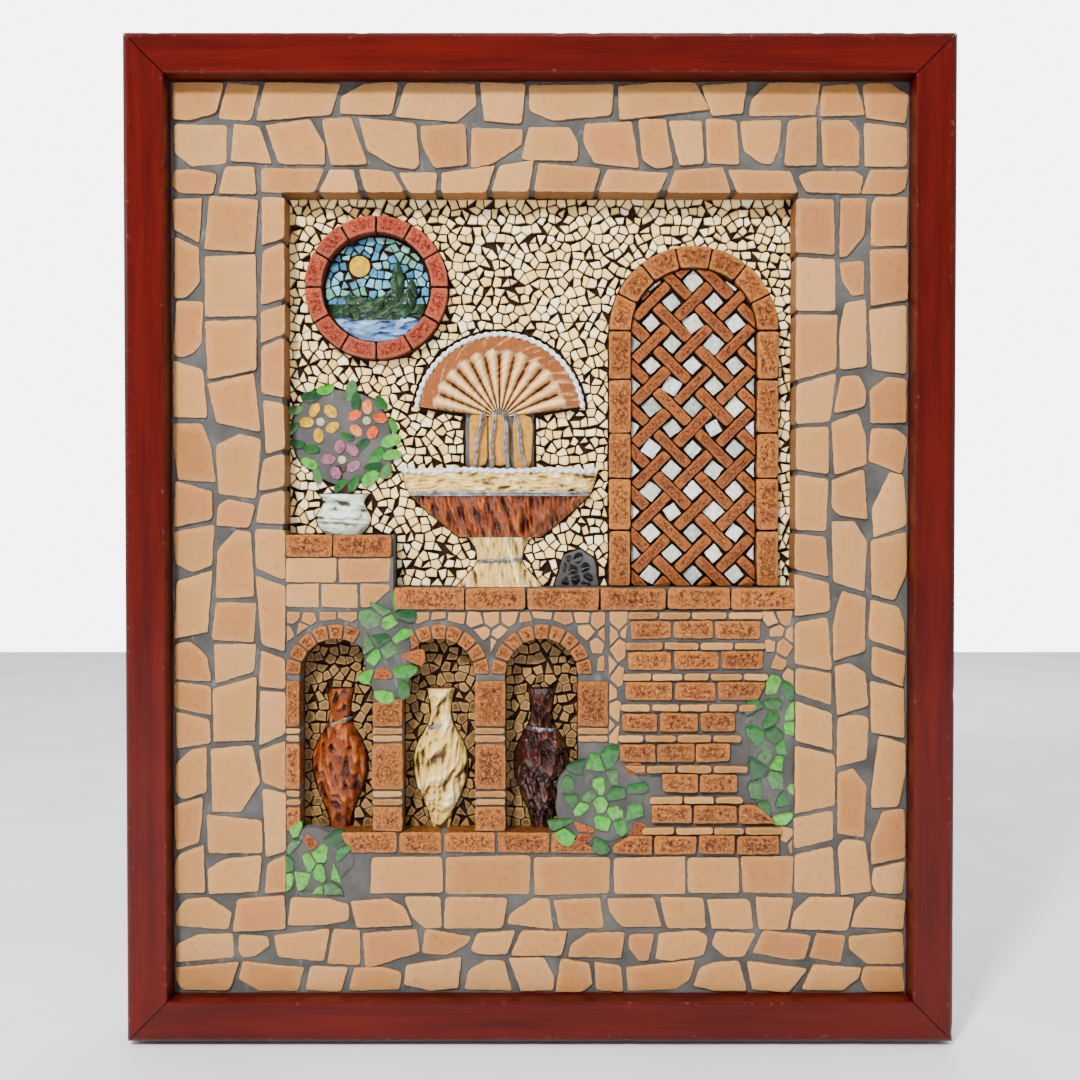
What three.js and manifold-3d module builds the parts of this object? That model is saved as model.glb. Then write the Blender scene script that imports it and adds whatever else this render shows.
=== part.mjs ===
// A framed relief mosaic panel, made to hang flat on a wall.
//
// Millimetres. X runs to the right, Z up, and the front faces -Y. The origin is the middle of the flat
// back, which lies in the plane y = 0, so every depth below is a distance in front of the wall.
import * as THREE from "three";
import { mergeVertices } from "three/addons/utils/BufferGeometryUtils.js";
import Module from "manifold-3d";

const wasm = await Module();
wasm.setup();

// ---- driving dimensions ----------------------------------------------------------------------------
const GAP = 0.3; // clearance between pieces that touch
const MORTAR = 1.2; // joint between neighbouring blocks

const FRAME = { width: 678, height: 824, depth: 58, rail: 34, outerRound: 6, innerRound: 1.5, rebate: 6 };
const BOARD_DEPTH = 9;
const GROUT_DEPTH = 38; // grout level of the front layer: the surround and the terrace
const BED_DEPTH = 14; // mortar face at the bottom of the recess
const RECESS = { left: -212, right: 212, bottom: -296, top: 287 };

// The terrace fills the foot of the recess up to the front layer. Its coping and the sill of the
// planter at its left lie in a rebate, and the arcade is cut through it to the bed behind.
const TERRACE = { coping: -40, course: 18, copingBlocks: 6, rebateDepth: 31, blockDepth: 41.5 };
const PLANTER = { right: -122, sill: 4, sillBlocks: 2 };
const ARCADE = { left: -212, right: 44, bays: 3, pier: 24, floor: -244, spring: -112, jarHeight: 118 };

const GATE = { centre: 129, halfWidth: 71, jamb: 18, spring: 175, depth: 26, jambBlocks: 5, archBlocks: 7 };
const TRELLIS = { pitch: 25, strip: 9, lowDepth: 20, highDepth: 23 };
const WINDOW = { x: -137, z: 211, outer: 60, inner: 46, depth: 28, bricks: 12 };
const HILLS = { level: -0.25, swell: 9, depth: 21 };
const FOUNTAIN = { x: -34, shellHinge: 102, shellRadius: 71, rim: 58, bowlBottom: 2, bowlHalfWidth: 83 };
const TREE = { x: -166, potTop: 38, trunkTop: 62 };

const BLOCK_ARRIS = 0.9; // worn edge of a ceramic block
const BLOCK_STEPS = 4; // straight facets along each arch block or brick
const ARCH_STEPS = 20; // straight facets round each half circle of an opening
const LENGTH_SPREAD = 0.12; // how much the hand-cut blocks of a course differ in length

const LOOKS = {
  lacquer: { color: 0x7a1a14, roughness: 0.28, metalness: 0 },
  plywood: { color: 0xb08a5c, roughness: 0.8, metalness: 0 },
  grout: { color: 0x77777a, roughness: 0.9, metalness: 0 },
  mortar: { color: 0x1f1a19, roughness: 0.9, metalness: 0 },
  terracotta: { color: 0xb46a38, roughness: 0.6, metalness: 0 },
  brick: { color: 0xa8432a, roughness: 0.7, metalness: 0 },
  foliage: { color: 0x2f5a34, roughness: 0.3, metalness: 0 },
  pearl: { color: 0xeadfd0, roughness: 0.25, metalness: 0 },
  copper: { color: 0xa2501c, roughness: 0.25, metalness: 0 },
  cream: { color: 0xe0c48c, roughness: 0.3, metalness: 0 },
  chocolate: { color: 0x43190f, roughness: 0.25, metalness: 0 },
  paleFoil: { color: 0xd4dccb, roughness: 0.25, metalness: 0 },
};

const panel = new THREE.Group();

function addPiece(name, geometry, look) {
  const mesh = new THREE.Mesh(geometry, new THREE.MeshStandardMaterial(look));
  mesh.name = name;
  panel.add(mesh);
  return mesh;
}

// ---- solids ----------------------------------------------------------------------------------------

// A flat outline in x and z, made solid from one depth to another, with its edges worn back by `arris`.
function slab(outline, backDepth, frontDepth, arris = 0, curveSegments = BLOCK_STEPS) {
  const geometry = new THREE.ExtrudeGeometry(outline, {
    depth: frontDepth - backDepth - 2 * arris,
    bevelEnabled: arris > 0,
    bevelSegments: 1,
    bevelThickness: arris,
    bevelSize: arris,
    bevelOffset: -arris,
    curveSegments,
  });
  geometry.rotateX(Math.PI / 2);
  geometry.translate(0, -(backDepth + arris), 0);
  return geometry;
}

function rectangle(left, right, bottom, top) {
  const outline = new THREE.Shape();
  outline.moveTo(left, bottom).lineTo(right, bottom).lineTo(right, top).lineTo(left, top);
  outline.closePath();
  return outline;
}

// An opening with upright sides and a round head.
function archedOpening(centre, halfSpan, floor, spring) {
  const outline = new THREE.Shape();
  outline.moveTo(centre - halfSpan, floor);
  outline.lineTo(centre + halfSpan, floor);
  outline.absarc(centre, spring, halfSpan, 0, Math.PI, false);
  outline.closePath();
  return outline;
}

// A block of a ring: the part between two radii and two angles.
function ringBlock(x, z, inner, outer, startAngle, endAngle) {
  const outline = new THREE.Shape();
  outline.absarc(x, z, outer, startAngle, endAngle, false);
  outline.absarc(x, z, inner, endAngle, startAngle, true);
  outline.closePath();
  return outline;
}

// A relief with a flat back: front(s, t) gives [x, depth, z] over a grid of columns by rows, where s
// runs from 0 at the left to 1 at the right, and t from 0 at the bottom to 1 at the top.
function relief(columns, rows, backDepth, front) {
  const points = [];
  for (let row = 0; row <= rows; row++) {
    for (let column = 0; column <= columns; column++) {
      const [x, depth, z] = front(column / columns, row / rows);
      points.push([x, -depth, z]);
    }
  }
  const at = (column, row) => row * (columns + 1) + column;
  const faces = [];
  for (let row = 0; row < rows; row++) {
    for (let column = 0; column < columns; column++) {
      faces.push([at(column, row), at(column + 1, row), at(column + 1, row + 1)]);
      faces.push([at(column, row), at(column + 1, row + 1), at(column, row + 1)]);
    }
  }
  const edge = [];
  for (let column = 0; column < columns; column++) edge.push(at(column, 0));
  for (let row = 0; row < rows; row++) edge.push(at(columns, row));
  for (let column = columns; column > 0; column--) edge.push(at(column, rows));
  for (let row = rows; row > 0; row--) edge.push(at(0, row));
  const firstBack = points.length;
  for (const index of edge) points.push([points[index][0], -backDepth, points[index][2]]);
  edge.forEach((index, i) => {
    const next = (i + 1) % edge.length;
    faces.push([index, firstBack + i, firstBack + next]);
    faces.push([index, firstBack + next, edge[next]]);
  });
  const outline = edge.map((index) => new THREE.Vector2(points[index][0], points[index][2]));
  for (const [a, b, c] of THREE.ShapeUtils.triangulateShape(outline, [])) {
    faces.push([firstBack + a, firstBack + c, firstBack + b]);
  }
  const geometry = new THREE.BufferGeometry();
  geometry.setAttribute("position", new THREE.Float32BufferAttribute(points.flat(), 3));
  geometry.setIndex(faces.flat());
  return geometry;
}

// A turned vessel or post in half relief. Its halfWidth(t) is the outline from foot to lip, its bulge
// how far the middle stands out for each millimetre of half width, and its flutes run up the front.
function turnedRelief({ x, bottom, top, halfWidth, bulge, edge, flutes = 0, fluteDepth = 0, rows = 12 }) {
  const columns = Math.max(10, flutes * 4);
  const back = BED_DEPTH + GAP;
  return relief(columns, rows, back, (s, t) => {
    const angle = Math.PI * s;
    const half = halfWidth(t);
    const flute = fluteDepth * Math.cos(2 * flutes * angle) * Math.sin(angle);
    const depth = back + edge + bulge * half * Math.sin(angle) + flute;
    return [x - half * Math.cos(angle), depth, bottom + (top - bottom) * t];
  });
}

// Smooth profile through a few half widths spaced evenly from foot to lip.
function profile(...halfWidths) {
  const curve = new THREE.CatmullRomCurve3(halfWidths.map((w, i) => new THREE.Vector3(w, i, 0)));
  return (t) => curve.getPoint(t).x;
}

// A repeatable number from -1 to 1 for each piece of a course.
function handCut(index) {
  const wave = Math.sin(index * 12.9898 + 4.1414) * 43758.5453;
  return 2 * (wave - Math.floor(wave)) - 1;
}

// The ends of `count` hand-cut pieces that fill a course from one place to another.
function courseJoints(from, to, count) {
  const lengths = Array.from({ length: count }, (_, i) => 1 + LENGTH_SPREAD * handCut(i + count));
  const total = lengths.reduce((sum, length) => sum + length, 0);
  const joints = [from];
  for (const length of lengths) joints.push(joints.at(-1) + ((to - from) * length) / total);
  return joints;
}

function toManifold(geometry) {
  const bare = new THREE.BufferGeometry();
  bare.setAttribute("position", geometry.getAttribute("position"));
  if (geometry.index) bare.setIndex(geometry.index);
  const merged = mergeVertices(bare);
  return new wasm.Manifold(
    new wasm.Mesh({
      numProp: 3,
      vertProperties: new Float32Array(merged.getAttribute("position").array),
      triVerts: new Uint32Array(merged.index.array),
    })
  );
}

function fromManifold(solid) {
  const mesh = solid.getMesh();
  const geometry = new THREE.BufferGeometry();
  geometry.setAttribute("position", new THREE.BufferAttribute(new Float32Array(mesh.vertProperties), 3));
  geometry.setIndex(new THREE.BufferAttribute(new Uint32Array(mesh.triVerts), 1));
  return geometry;
}

// ---- frame, board and beds -------------------------------------------------------------------------

// Section of a rail: u runs from the outer edge towards the opening, d from the wall to the front.
function railSection() {
  const { rail, depth, outerRound, innerRound, rebate } = FRAME;
  const section = new THREE.Shape();
  section.moveTo(0, 0);
  section.lineTo(rail - rebate, 0);
  section.lineTo(rail - rebate, BOARD_DEPTH + GAP);
  section.lineTo(rail, BOARD_DEPTH + GAP);
  section.lineTo(rail, depth - innerRound);
  section.absarc(rail - innerRound, depth - innerRound, innerRound, 0, Math.PI / 2, false);
  section.lineTo(outerRound, depth);
  section.absarc(outerRound, depth - outerRound, outerRound, Math.PI / 2, Math.PI, false);
  section.closePath();
  return section;
}

// A rail along X with both ends cut to the mitre, its outer edge at z = offset.
function mitredRail(halfLength, offset) {
  const geometry = new THREE.ExtrudeGeometry(railSection(), {
    depth: 1,
    bevelEnabled: false,
    curveSegments: 5,
  });
  const position = geometry.getAttribute("position");
  for (let i = 0; i < position.count; i++) {
    const u = position.getX(i);
    const reach = halfLength - u - GAP;
    position.setXYZ(i, (1 - 2 * position.getZ(i)) * reach, -position.getY(i), offset - u);
  }
  return geometry;
}

function addFrame() {
  const { width, height, rail, rebate } = FRAME;
  const across = mitredRail(width / 2, height / 2);
  const upright = mitredRail(height / 2, width / 2);
  addPiece("frame_top_rail", across, LOOKS.lacquer);
  addPiece("frame_bottom_rail", across, LOOKS.lacquer).rotation.y = Math.PI;
  addPiece("frame_right_rail", upright, LOOKS.lacquer).rotation.y = Math.PI / 2;
  addPiece("frame_left_rail", upright, LOOKS.lacquer).rotation.y = -Math.PI / 2;

  const halfX = width / 2 - rail + rebate - GAP;
  const halfZ = height / 2 - rail + rebate - GAP;
  addPiece("backing_board", slab(rectangle(-halfX, halfX, -halfZ, halfZ), 0, BOARD_DEPTH), LOOKS.plywood);
}

function addBeds() {
  const halfX = FRAME.width / 2 - FRAME.rail - GAP;
  const halfZ = FRAME.height / 2 - FRAME.rail - GAP;
  const { left, right, bottom, top } = RECESS;
  const back = BOARD_DEPTH + GAP;
  const strips = {
    top: rectangle(-halfX, halfX, top, halfZ),
    bottom: rectangle(-halfX, halfX, -halfZ, bottom),
    left: rectangle(-halfX, left, bottom + GAP, top - GAP),
    right: rectangle(right, halfX, bottom + GAP, top - GAP),
  };
  for (const [side, outline] of Object.entries(strips)) {
    addPiece(`surround_bed_${side}`, slab(outline, back, GROUT_DEPTH), LOOKS.grout);
  }
  const floor = rectangle(left + GAP, right - GAP, bottom + GAP, top - GAP);
  addPiece("recess_bed", slab(floor, back, BED_DEPTH), LOOKS.mortar);
}

// ---- masonry of the picture ------------------------------------------------------------------------

function addBlock(name, outline, backDepth, frontDepth, look) {
  addPiece(name, slab(outline, backDepth, frontDepth, BLOCK_ARRIS), look);
}

function addWallBlock(name, outline, frontDepth, look) {
  addBlock(name, outline, BED_DEPTH + GAP, frontDepth, look);
}

// The terrace as one bed: the arcade cut through it, and a rebate along each top edge for the blocks.
function terraceBed() {
  const { coping, course, rebateDepth } = TERRACE;
  const left = RECESS.left + GAP;
  const right = RECESS.right - GAP;
  const outline = new THREE.Shape();
  outline.moveTo(left, RECESS.bottom + GAP).lineTo(right, RECESS.bottom + GAP).lineTo(right, coping);
  outline.lineTo(PLANTER.right, coping).lineTo(PLANTER.right, PLANTER.sill).lineTo(left, PLANTER.sill);
  outline.closePath();
  let bed = toManifold(slab(outline, BED_DEPTH + GAP, GROUT_DEPTH));

  const past = 1; // how far each cut runs past the face it opens
  const bay = (ARCADE.right - ARCADE.left) / ARCADE.bays;
  const halfSpan = (bay - ARCADE.pier) / 2;
  for (let i = 0; i < ARCADE.bays; i++) {
    const centre = ARCADE.left + bay * (i + 0.5);
    const arch = archedOpening(centre, halfSpan, ARCADE.floor, ARCADE.spring);
    bed = bed.subtract(toManifold(slab(arch, BED_DEPTH - past, GROUT_DEPTH + past, 0, ARCH_STEPS)));
  }
  const rebates = [
    rectangle(PLANTER.right, RECESS.right, coping - course - GAP, coping + past),
    rectangle(RECESS.left, PLANTER.right + past, PLANTER.sill - course - GAP, PLANTER.sill + past),
  ];
  for (const rebate of rebates) {
    bed = bed.subtract(toManifold(slab(rebate, rebateDepth, GROUT_DEPTH + past)));
  }
  return bed;
}

function addTerrace() {
  const { coping, course, copingBlocks, rebateDepth, blockDepth } = TERRACE;
  addPiece("terrace_bed", fromManifold(terraceBed()), LOOKS.grout);
  const courses = [
    ["coping_block", PLANTER.right, RECESS.right, coping, copingBlocks],
    ["planter_sill_block", RECESS.left, PLANTER.right, PLANTER.sill, PLANTER.sillBlocks],
  ];
  for (const [name, from, to, top, count] of courses) {
    const joints = courseJoints(from + MORTAR / 2, to - MORTAR / 2, count);
    for (let i = 0; i < count; i++) {
      const outline = rectangle(joints[i] + MORTAR / 2, joints[i + 1] - MORTAR / 2, top - course, top);
      addBlock(`${name}_${i + 1}`, outline, rebateDepth + GAP, blockDepth, LOOKS.terracotta);
    }
  }
}

function addGate() {
  const { centre, halfWidth, jamb, spring, depth, jambBlocks, archBlocks } = GATE;
  const joints = courseJoints(TERRACE.coping + MORTAR / 2, spring, jambBlocks);
  for (const [side, outer] of [["left", centre - halfWidth], ["right", centre + halfWidth - jamb]]) {
    for (let i = 0; i < jambBlocks; i++) {
      const outline = rectangle(outer, outer + jamb, joints[i] + MORTAR / 2, joints[i + 1] - MORTAR / 2);
      addWallBlock(`gate_jamb_${side}_${i + 1}`, outline, depth, LOOKS.terracotta);
    }
  }
  const span = Math.PI / archBlocks;
  const joint = MORTAR / 2 / (halfWidth - jamb / 2);
  for (let i = 0; i < archBlocks; i++) {
    const start = i * span + joint;
    const outline = ringBlock(centre, spring, halfWidth - jamb, halfWidth, start, start + span - 2 * joint);
    addWallBlock(`gate_arch_block_${i + 1}`, outline, depth, LOOKS.terracotta);
  }
}

// Diagonal strips laid both ways across the gate's opening and cut to its arched outline.
function addTrellis() {
  const inner = GATE.halfWidth - GATE.jamb - GAP;
  const bottom = TERRACE.coping + GAP;
  const opening = archedOpening(GATE.centre, inner, bottom, GATE.spring);
  const outline = slab(opening, 0, FRAME.depth, 0, ARCH_STEPS);

  const middle = (bottom + GATE.spring + inner) / 2;
  const length = 2 * (GATE.spring + inner - bottom);
  const count = Math.ceil(length / 2 / Math.SQRT2 / TRELLIS.pitch);
  const back = BED_DEPTH + GAP;
  let lattice = null;
  for (const [turn, front] of [[Math.PI / 4, TRELLIS.lowDepth], [-Math.PI / 4, TRELLIS.highDepth]]) {
    for (let i = -count; i <= count; i++) {
      const strip = new THREE.BoxGeometry(length, front - back, TRELLIS.strip);
      strip.translate(0, -(front + back) / 2, i * TRELLIS.pitch);
      strip.rotateY(turn);
      strip.translate(GATE.centre, 0, middle);
      const solid = toManifold(strip);
      lattice = lattice ? lattice.add(solid) : solid;
    }
  }
  addPiece("gate_trellis", fromManifold(lattice.intersect(toManifold(outline))), LOOKS.brick);
}

function addRoundWindow() {
  const { x, z, outer, inner, depth, bricks } = WINDOW;
  const span = (2 * Math.PI) / bricks;
  const joint = MORTAR / 2 / inner;
  for (let i = 0; i < bricks; i++) {
    const start = i * span + joint;
    const outline = ringBlock(x, z, inner, outer, start, start + span - 2 * joint);
    addWallBlock(`round_window_brick_${i + 1}`, outline, depth, LOOKS.brick);
  }

  // Hills fill the foot of the round view, with a skyline of two swells.
  const radius = inner - MORTAR;
  const back = BED_DEPTH + GAP;
  const sink = Math.asin(HILLS.level);
  const half = radius * Math.cos(sink);
  const hills = relief(24, 4, back, (s, t) => {
    const across = half * (2 * s - 1);
    const foot = -Math.sqrt(radius * radius - across * across);
    const swell = HILLS.swell * Math.sin(Math.PI * s) * (1 + 0.6 * Math.sin(3 * Math.PI * s + 0.6));
    const crest = radius * HILLS.level + 1 + swell;
    const depth = back + 2 + (HILLS.depth - back - 2) * Math.sin(Math.PI * s) * (0.6 + 0.4 * t);
    return [x + across, depth, z + foot + (crest - foot) * t];
  });
  addPiece("round_window_hills", hills, LOOKS.foliage);
}

// ---- fountain, tree and jars -----------------------------------------------------------------------

function addFountain() {
  const { x, shellHinge, shellRadius, rim, bowlBottom, bowlHalfWidth } = FOUNTAIN;
  const back = BED_DEPTH + GAP;
  const pleats = 9;
  const shell = relief(pleats * 4, 5, back, (s, t) => {
    const angle = THREE.MathUtils.degToRad(172 - 164 * s);
    const lobe = Math.abs(Math.sin(pleats * Math.PI * s));
    const radius = 8 + (shellRadius - 8) * t * (0.94 + 0.06 * lobe);
    const depth = back + 4 + 9 * Math.sin(Math.PI * Math.min(1, t * 0.8)) + 3.5 * t * lobe;
    return [x + radius * Math.cos(angle), depth, shellHinge + radius * Math.sin(angle)];
  });
  addPiece("fountain_shell", shell, LOOKS.pearl);

  const bowl = turnedRelief({
    x,
    bottom: bowlBottom,
    top: rim,
    halfWidth: profile(0.42 * bowlHalfWidth, 0.7 * bowlHalfWidth, 0.93 * bowlHalfWidth, bowlHalfWidth),
    bulge: 0.2,
    edge: 4,
    flutes: 7,
    fluteDepth: 1.2,
    rows: 8,
  });
  addPiece("fountain_basin", bowl, LOOKS.copper);

  const pedestal = turnedRelief({
    x,
    bottom: TERRACE.coping + GAP,
    top: bowlBottom - GAP,
    halfWidth: profile(36, 27, 19, 20, 27),
    bulge: 0.35,
    edge: 3,
    flutes: 4,
    fluteDepth: 0.8,
    rows: 10,
  });
  addPiece("fountain_pedestal", pedestal, LOOKS.cream);
}

function addTree() {
  const pot = turnedRelief({
    x: TREE.x,
    bottom: PLANTER.sill + GAP,
    top: TREE.potTop,
    halfWidth: profile(15, 21, 23, 20, 17, 21),
    bulge: 0.55,
    edge: 3,
    rows: 10,
  });
  addPiece("tree_pot", pot, LOOKS.paleFoil);
  const trunk = turnedRelief({
    x: TREE.x,
    bottom: TREE.potTop + GAP,
    top: TREE.trunkTop,
    halfWidth: profile(6.5, 4.6, 4.4, 7),
    bulge: 0.9,
    edge: 2,
    rows: 8,
  });
  addPiece("tree_trunk", trunk, LOOKS.chocolate);
}

function addJars() {
  const looks = { left: LOOKS.copper, middle: LOOKS.cream, right: LOOKS.chocolate };
  const bay = (ARCADE.right - ARCADE.left) / ARCADE.bays;
  Object.entries(looks).forEach(([place, look], i) => {
    const jar = turnedRelief({
      x: ARCADE.left + bay * (i + 0.5),
      bottom: ARCADE.floor + GAP,
      top: ARCADE.floor + ARCADE.jarHeight,
      halfWidth: profile(8, 10, 15, 20, 23, 23, 20, 13, 8.5, 9, 12),
      bulge: 0.75,
      edge: 2,
      rows: 16,
    });
    addPiece(`arcade_jar_${place}`, jar, look);
  });
}

addFrame();
addBeds();
addTerrace();
addGate();
addTrellis();
addRoundWindow();
addFountain();
addTree();
addJars();

export default panel;
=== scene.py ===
"""Looks of the framed mosaic panel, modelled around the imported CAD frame.

Lengths are worked out in millimetres on the face of the panel, as x to the right, z up and depth in
front of the wall, and become metres in the row frame when a mesh is built.
"""

import math
import zlib

import bmesh
import bpy
import mathutils
import numpy as np
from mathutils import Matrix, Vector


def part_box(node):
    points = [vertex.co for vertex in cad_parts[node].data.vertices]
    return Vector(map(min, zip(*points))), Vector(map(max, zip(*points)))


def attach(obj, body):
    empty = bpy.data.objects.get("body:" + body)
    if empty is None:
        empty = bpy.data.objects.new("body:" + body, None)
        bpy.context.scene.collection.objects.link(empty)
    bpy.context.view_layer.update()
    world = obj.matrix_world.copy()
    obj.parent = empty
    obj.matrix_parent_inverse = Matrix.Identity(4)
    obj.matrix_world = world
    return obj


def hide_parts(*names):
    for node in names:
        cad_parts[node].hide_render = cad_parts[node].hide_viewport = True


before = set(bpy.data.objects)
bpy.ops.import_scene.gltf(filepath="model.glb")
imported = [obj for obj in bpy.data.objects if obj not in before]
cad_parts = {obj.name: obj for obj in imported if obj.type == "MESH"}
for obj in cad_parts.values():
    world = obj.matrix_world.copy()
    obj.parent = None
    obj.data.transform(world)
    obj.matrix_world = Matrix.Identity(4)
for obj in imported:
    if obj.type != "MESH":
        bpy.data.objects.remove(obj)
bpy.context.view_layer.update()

MM = 0.001
TAU = 2 * math.pi


def dice(name):
    """A random generator of its own for each maker, the same on every run."""
    return np.random.default_rng(zlib.crc32(name.encode()))


# ---- places read from the frame ----------------------------------------------------------------


def place(node):
    """Lowest and highest corner of a CAD node as x, depth, z in millimetres."""
    low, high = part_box(node)
    return (
        np.array([low.x, -high.y, low.z]) / MM,
        np.array([high.x, -low.y, high.z]) / MM,
    )


def nodes_like(prefix):
    return sorted(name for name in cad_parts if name.startswith(prefix))


def node_points(node):
    """Every vertex of a CAD node as x, depth, z in millimetres."""
    points = np.array([v.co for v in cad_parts[node].data.vertices])
    return points * [1 / MM, -1 / MM, 1 / MM]


def turned_outline(node):
    """Heights, left edges and right edges of a turned relief, from the rows of its CAD solid."""
    points = node_points(node)
    heights = np.unique(points[:, 2].round(2))
    rows = [points[abs(points[:, 2] - z) < 0.02] for z in heights]
    return heights, np.array([r[:, 0].min() for r in rows]), np.array([r[:, 0].max() for r in rows])


FIELD_LEFT, _, FIELD_BOTTOM = place("surround_bed_bottom")[0]
FIELD_RIGHT, FRONT_LAYER, FIELD_TOP = place("surround_bed_top")[1]
RECESS_LEFT = place("surround_bed_left")[1][0]
RECESS_RIGHT = place("surround_bed_right")[0][0]
RECESS_BOTTOM = place("surround_bed_bottom")[1][2]
RECESS_TOP = place("surround_bed_top")[0][2]
BED = place("recess_bed")[1][1]
FRAME_LOW, FRAME_HIGH = place("frame_top_rail")
FRAME_FRONT = FRAME_HIGH[1]
COPING_LOW, _ = place(nodes_like("coping_block")[0])
COPING_HIGH = place(nodes_like("coping_block")[-1])[1]
SILL_LOW, SILL_HIGH = place("planter_sill_block_1")
PLANTER_RIGHT = place("planter_sill_block_2")[1][0] + 1.2

BLOCK_STAND = 2.6  # how far terracotta blocks stand out of the grout of the front layer
TILE_STAND = 1.7  # how far the surround's tiles do
TILE_THICKNESS = 7.0
CHIP_STAND = 3.4  # how far the fine chips stand out of the dark mortar
CHIP_JOINT = 1.0
WALL_CHIP_SPACING = 8.3
ARCADE_CHIP_SPACING = 9.2
CORNER_SHARES = (0.12, 0.5, 0.38)  # of chips with three, four and five corners


# ---- smooth noise --------------------------------------------------------------------------------


def lattice_value(cells, seed):
    """A repeatable value from -1 to 1 for each integer lattice cell."""
    mixed = np.full(len(cells), seed * 7919 + 17, np.uint64)
    for axis, prime in zip(range(cells.shape[1]), (73856093, 19349663, 83492791)):
        mixed ^= (cells[:, axis] + 100000).astype(np.uint64) * np.uint64(prime)
        mixed ^= mixed >> np.uint64(13)
        mixed *= np.uint64(1274126177)
    mixed ^= mixed >> np.uint64(16)
    return (mixed & np.uint64(0xFFFFF)).astype(float) / 0x80000 - 1


def smooth_noise(points, cell, seed=0):
    """Noise from -1 to 1 at each point, with features about `cell` across, per axis if it is a list."""
    scaled = np.asarray(points, float) / cell
    base = np.floor(scaled)
    blend = scaled - base
    blend = blend * blend * (3 - 2 * blend)
    total = np.zeros(len(scaled))
    dims = scaled.shape[1]
    for corner in range(2**dims):
        offset = np.array([(corner >> axis) & 1 for axis in range(dims)])
        weight = np.prod(np.where(offset, blend, 1 - blend), axis=1)
        total += weight * lattice_value((base + offset).astype(np.int64), seed)
    return total


def ridges(points, cell, seed=0):
    """Sharp creases from -1 to 1 where smooth noise crosses zero."""
    return 1 - 2 * np.sqrt(abs(smooth_noise(points, cell, seed)))


# ---- flat outlines -------------------------------------------------------------------------------

ROW_HEIGHT = 0.9  # height of a row of scattered points, as a share of their spacing


def rectangle(left, right, bottom, top):
    return np.array([(left, bottom), (right, bottom), (right, top), (left, top)], float)


def rotation(angle):
    """Matrix that turns rows of points counter-clockwise."""
    return np.array([[math.cos(angle), math.sin(angle)], [-math.sin(angle), math.cos(angle)]])


def arc_points(x, z, radius, angles):
    return np.column_stack([x + radius * np.cos(angles), z + radius * np.sin(angles)])


def arc(x, z, radius, start, end, steps):
    return arc_points(x, z, radius, np.linspace(start, end, steps + 1))


def disc_outline(x, z, radius, steps):
    return arc(x, z, radius, 0, TAU, steps)[:-1]


def arched(centre, half_span, floor, spring, steps=16):
    foot = [(centre - half_span, floor), (centre + half_span, floor)]
    return np.vstack([foot, arc(centre, spring, half_span, 0, math.pi, steps)])


def ring_block(x, z, inner, outer, start, end):
    return np.vstack([arc(x, z, outer, start, end, 3), arc(x, z, inner, end, start, 3)])


def area(outline):
    if len(outline) < 3:
        return 0.0
    x, z = np.asarray(outline).T
    return 0.5 * float(np.dot(x, np.roll(z, -1)) - np.dot(z, np.roll(x, -1)))


def clip(outline, point, normal):
    """The part of a convex outline on the far side of `normal` from the line through `point`."""
    kept = []
    heights = [(p[0] - point[0]) * normal[0] + (p[1] - point[1]) * normal[1] for p in outline]
    for i, p in enumerate(outline):
        q, h, g = outline[i - 1], heights[i], heights[i - 1]
        if (h <= 0) != (g <= 0):
            t = g / (g - h)
            kept.append((q[0] + (p[0] - q[0]) * t, q[1] + (p[1] - q[1]) * t))
        if h <= 0:
            kept.append((p[0], p[1]))
    return kept


def edge_normal(a, b):
    """Outward unit normal of an edge of a counter-clockwise outline, or nothing if it has no length."""
    along = (b[0] - a[0], b[1] - a[1])
    length = math.hypot(*along)
    return (along[1] / length, -along[0] / length) if length > 1e-6 else None


def clip_to(outline, boundary, joint=0.0):
    """The outline cut to lie inside a convex, counter-clockwise boundary."""
    for i in range(len(boundary)):
        a, normal = boundary[i - 1], edge_normal(boundary[i - 1], boundary[i])
        if normal is None:
            continue
        outline = clip(outline, (a[0] - joint * normal[0], a[1] - joint * normal[1]), normal)
        if len(outline) < 3:
            return []
    return outline


def inset(outline, joint, spread, rng):
    """Each edge moved in by about half a joint, more at one end than the other, as hand-cut edges are."""
    corners = [tuple(p) for p in outline]
    cut = list(corners)
    for i in range(len(corners)):
        a, b = corners[i - 1], corners[i]
        normal = edge_normal(a, b)
        if normal is None:
            continue
        near, far = (joint / 2 * (1 + spread * rng.uniform(-1, 1)) for _ in range(2))
        start = (a[0] - near * normal[0], a[1] - near * normal[1])
        end = (b[0] - far * normal[0], b[1] - far * normal[1])
        tilted = (end[1] - start[1], start[0] - end[0])
        cut = clip(cut, start, tilted)
        if len(cut) < 3:
            return []
    return cut


def fewer_corners(outline, count):
    """The outline with its least important corners dropped until `count` are left."""
    corners = [tuple(p) for p in outline]
    while len(corners) > count:
        loss = [
            area([corners[i - 1], corners[i], corners[(i + 1) % len(corners)]])
            for i in range(len(corners))
        ]
        corners.pop(int(np.argmin(loss)))
    return corners


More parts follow.
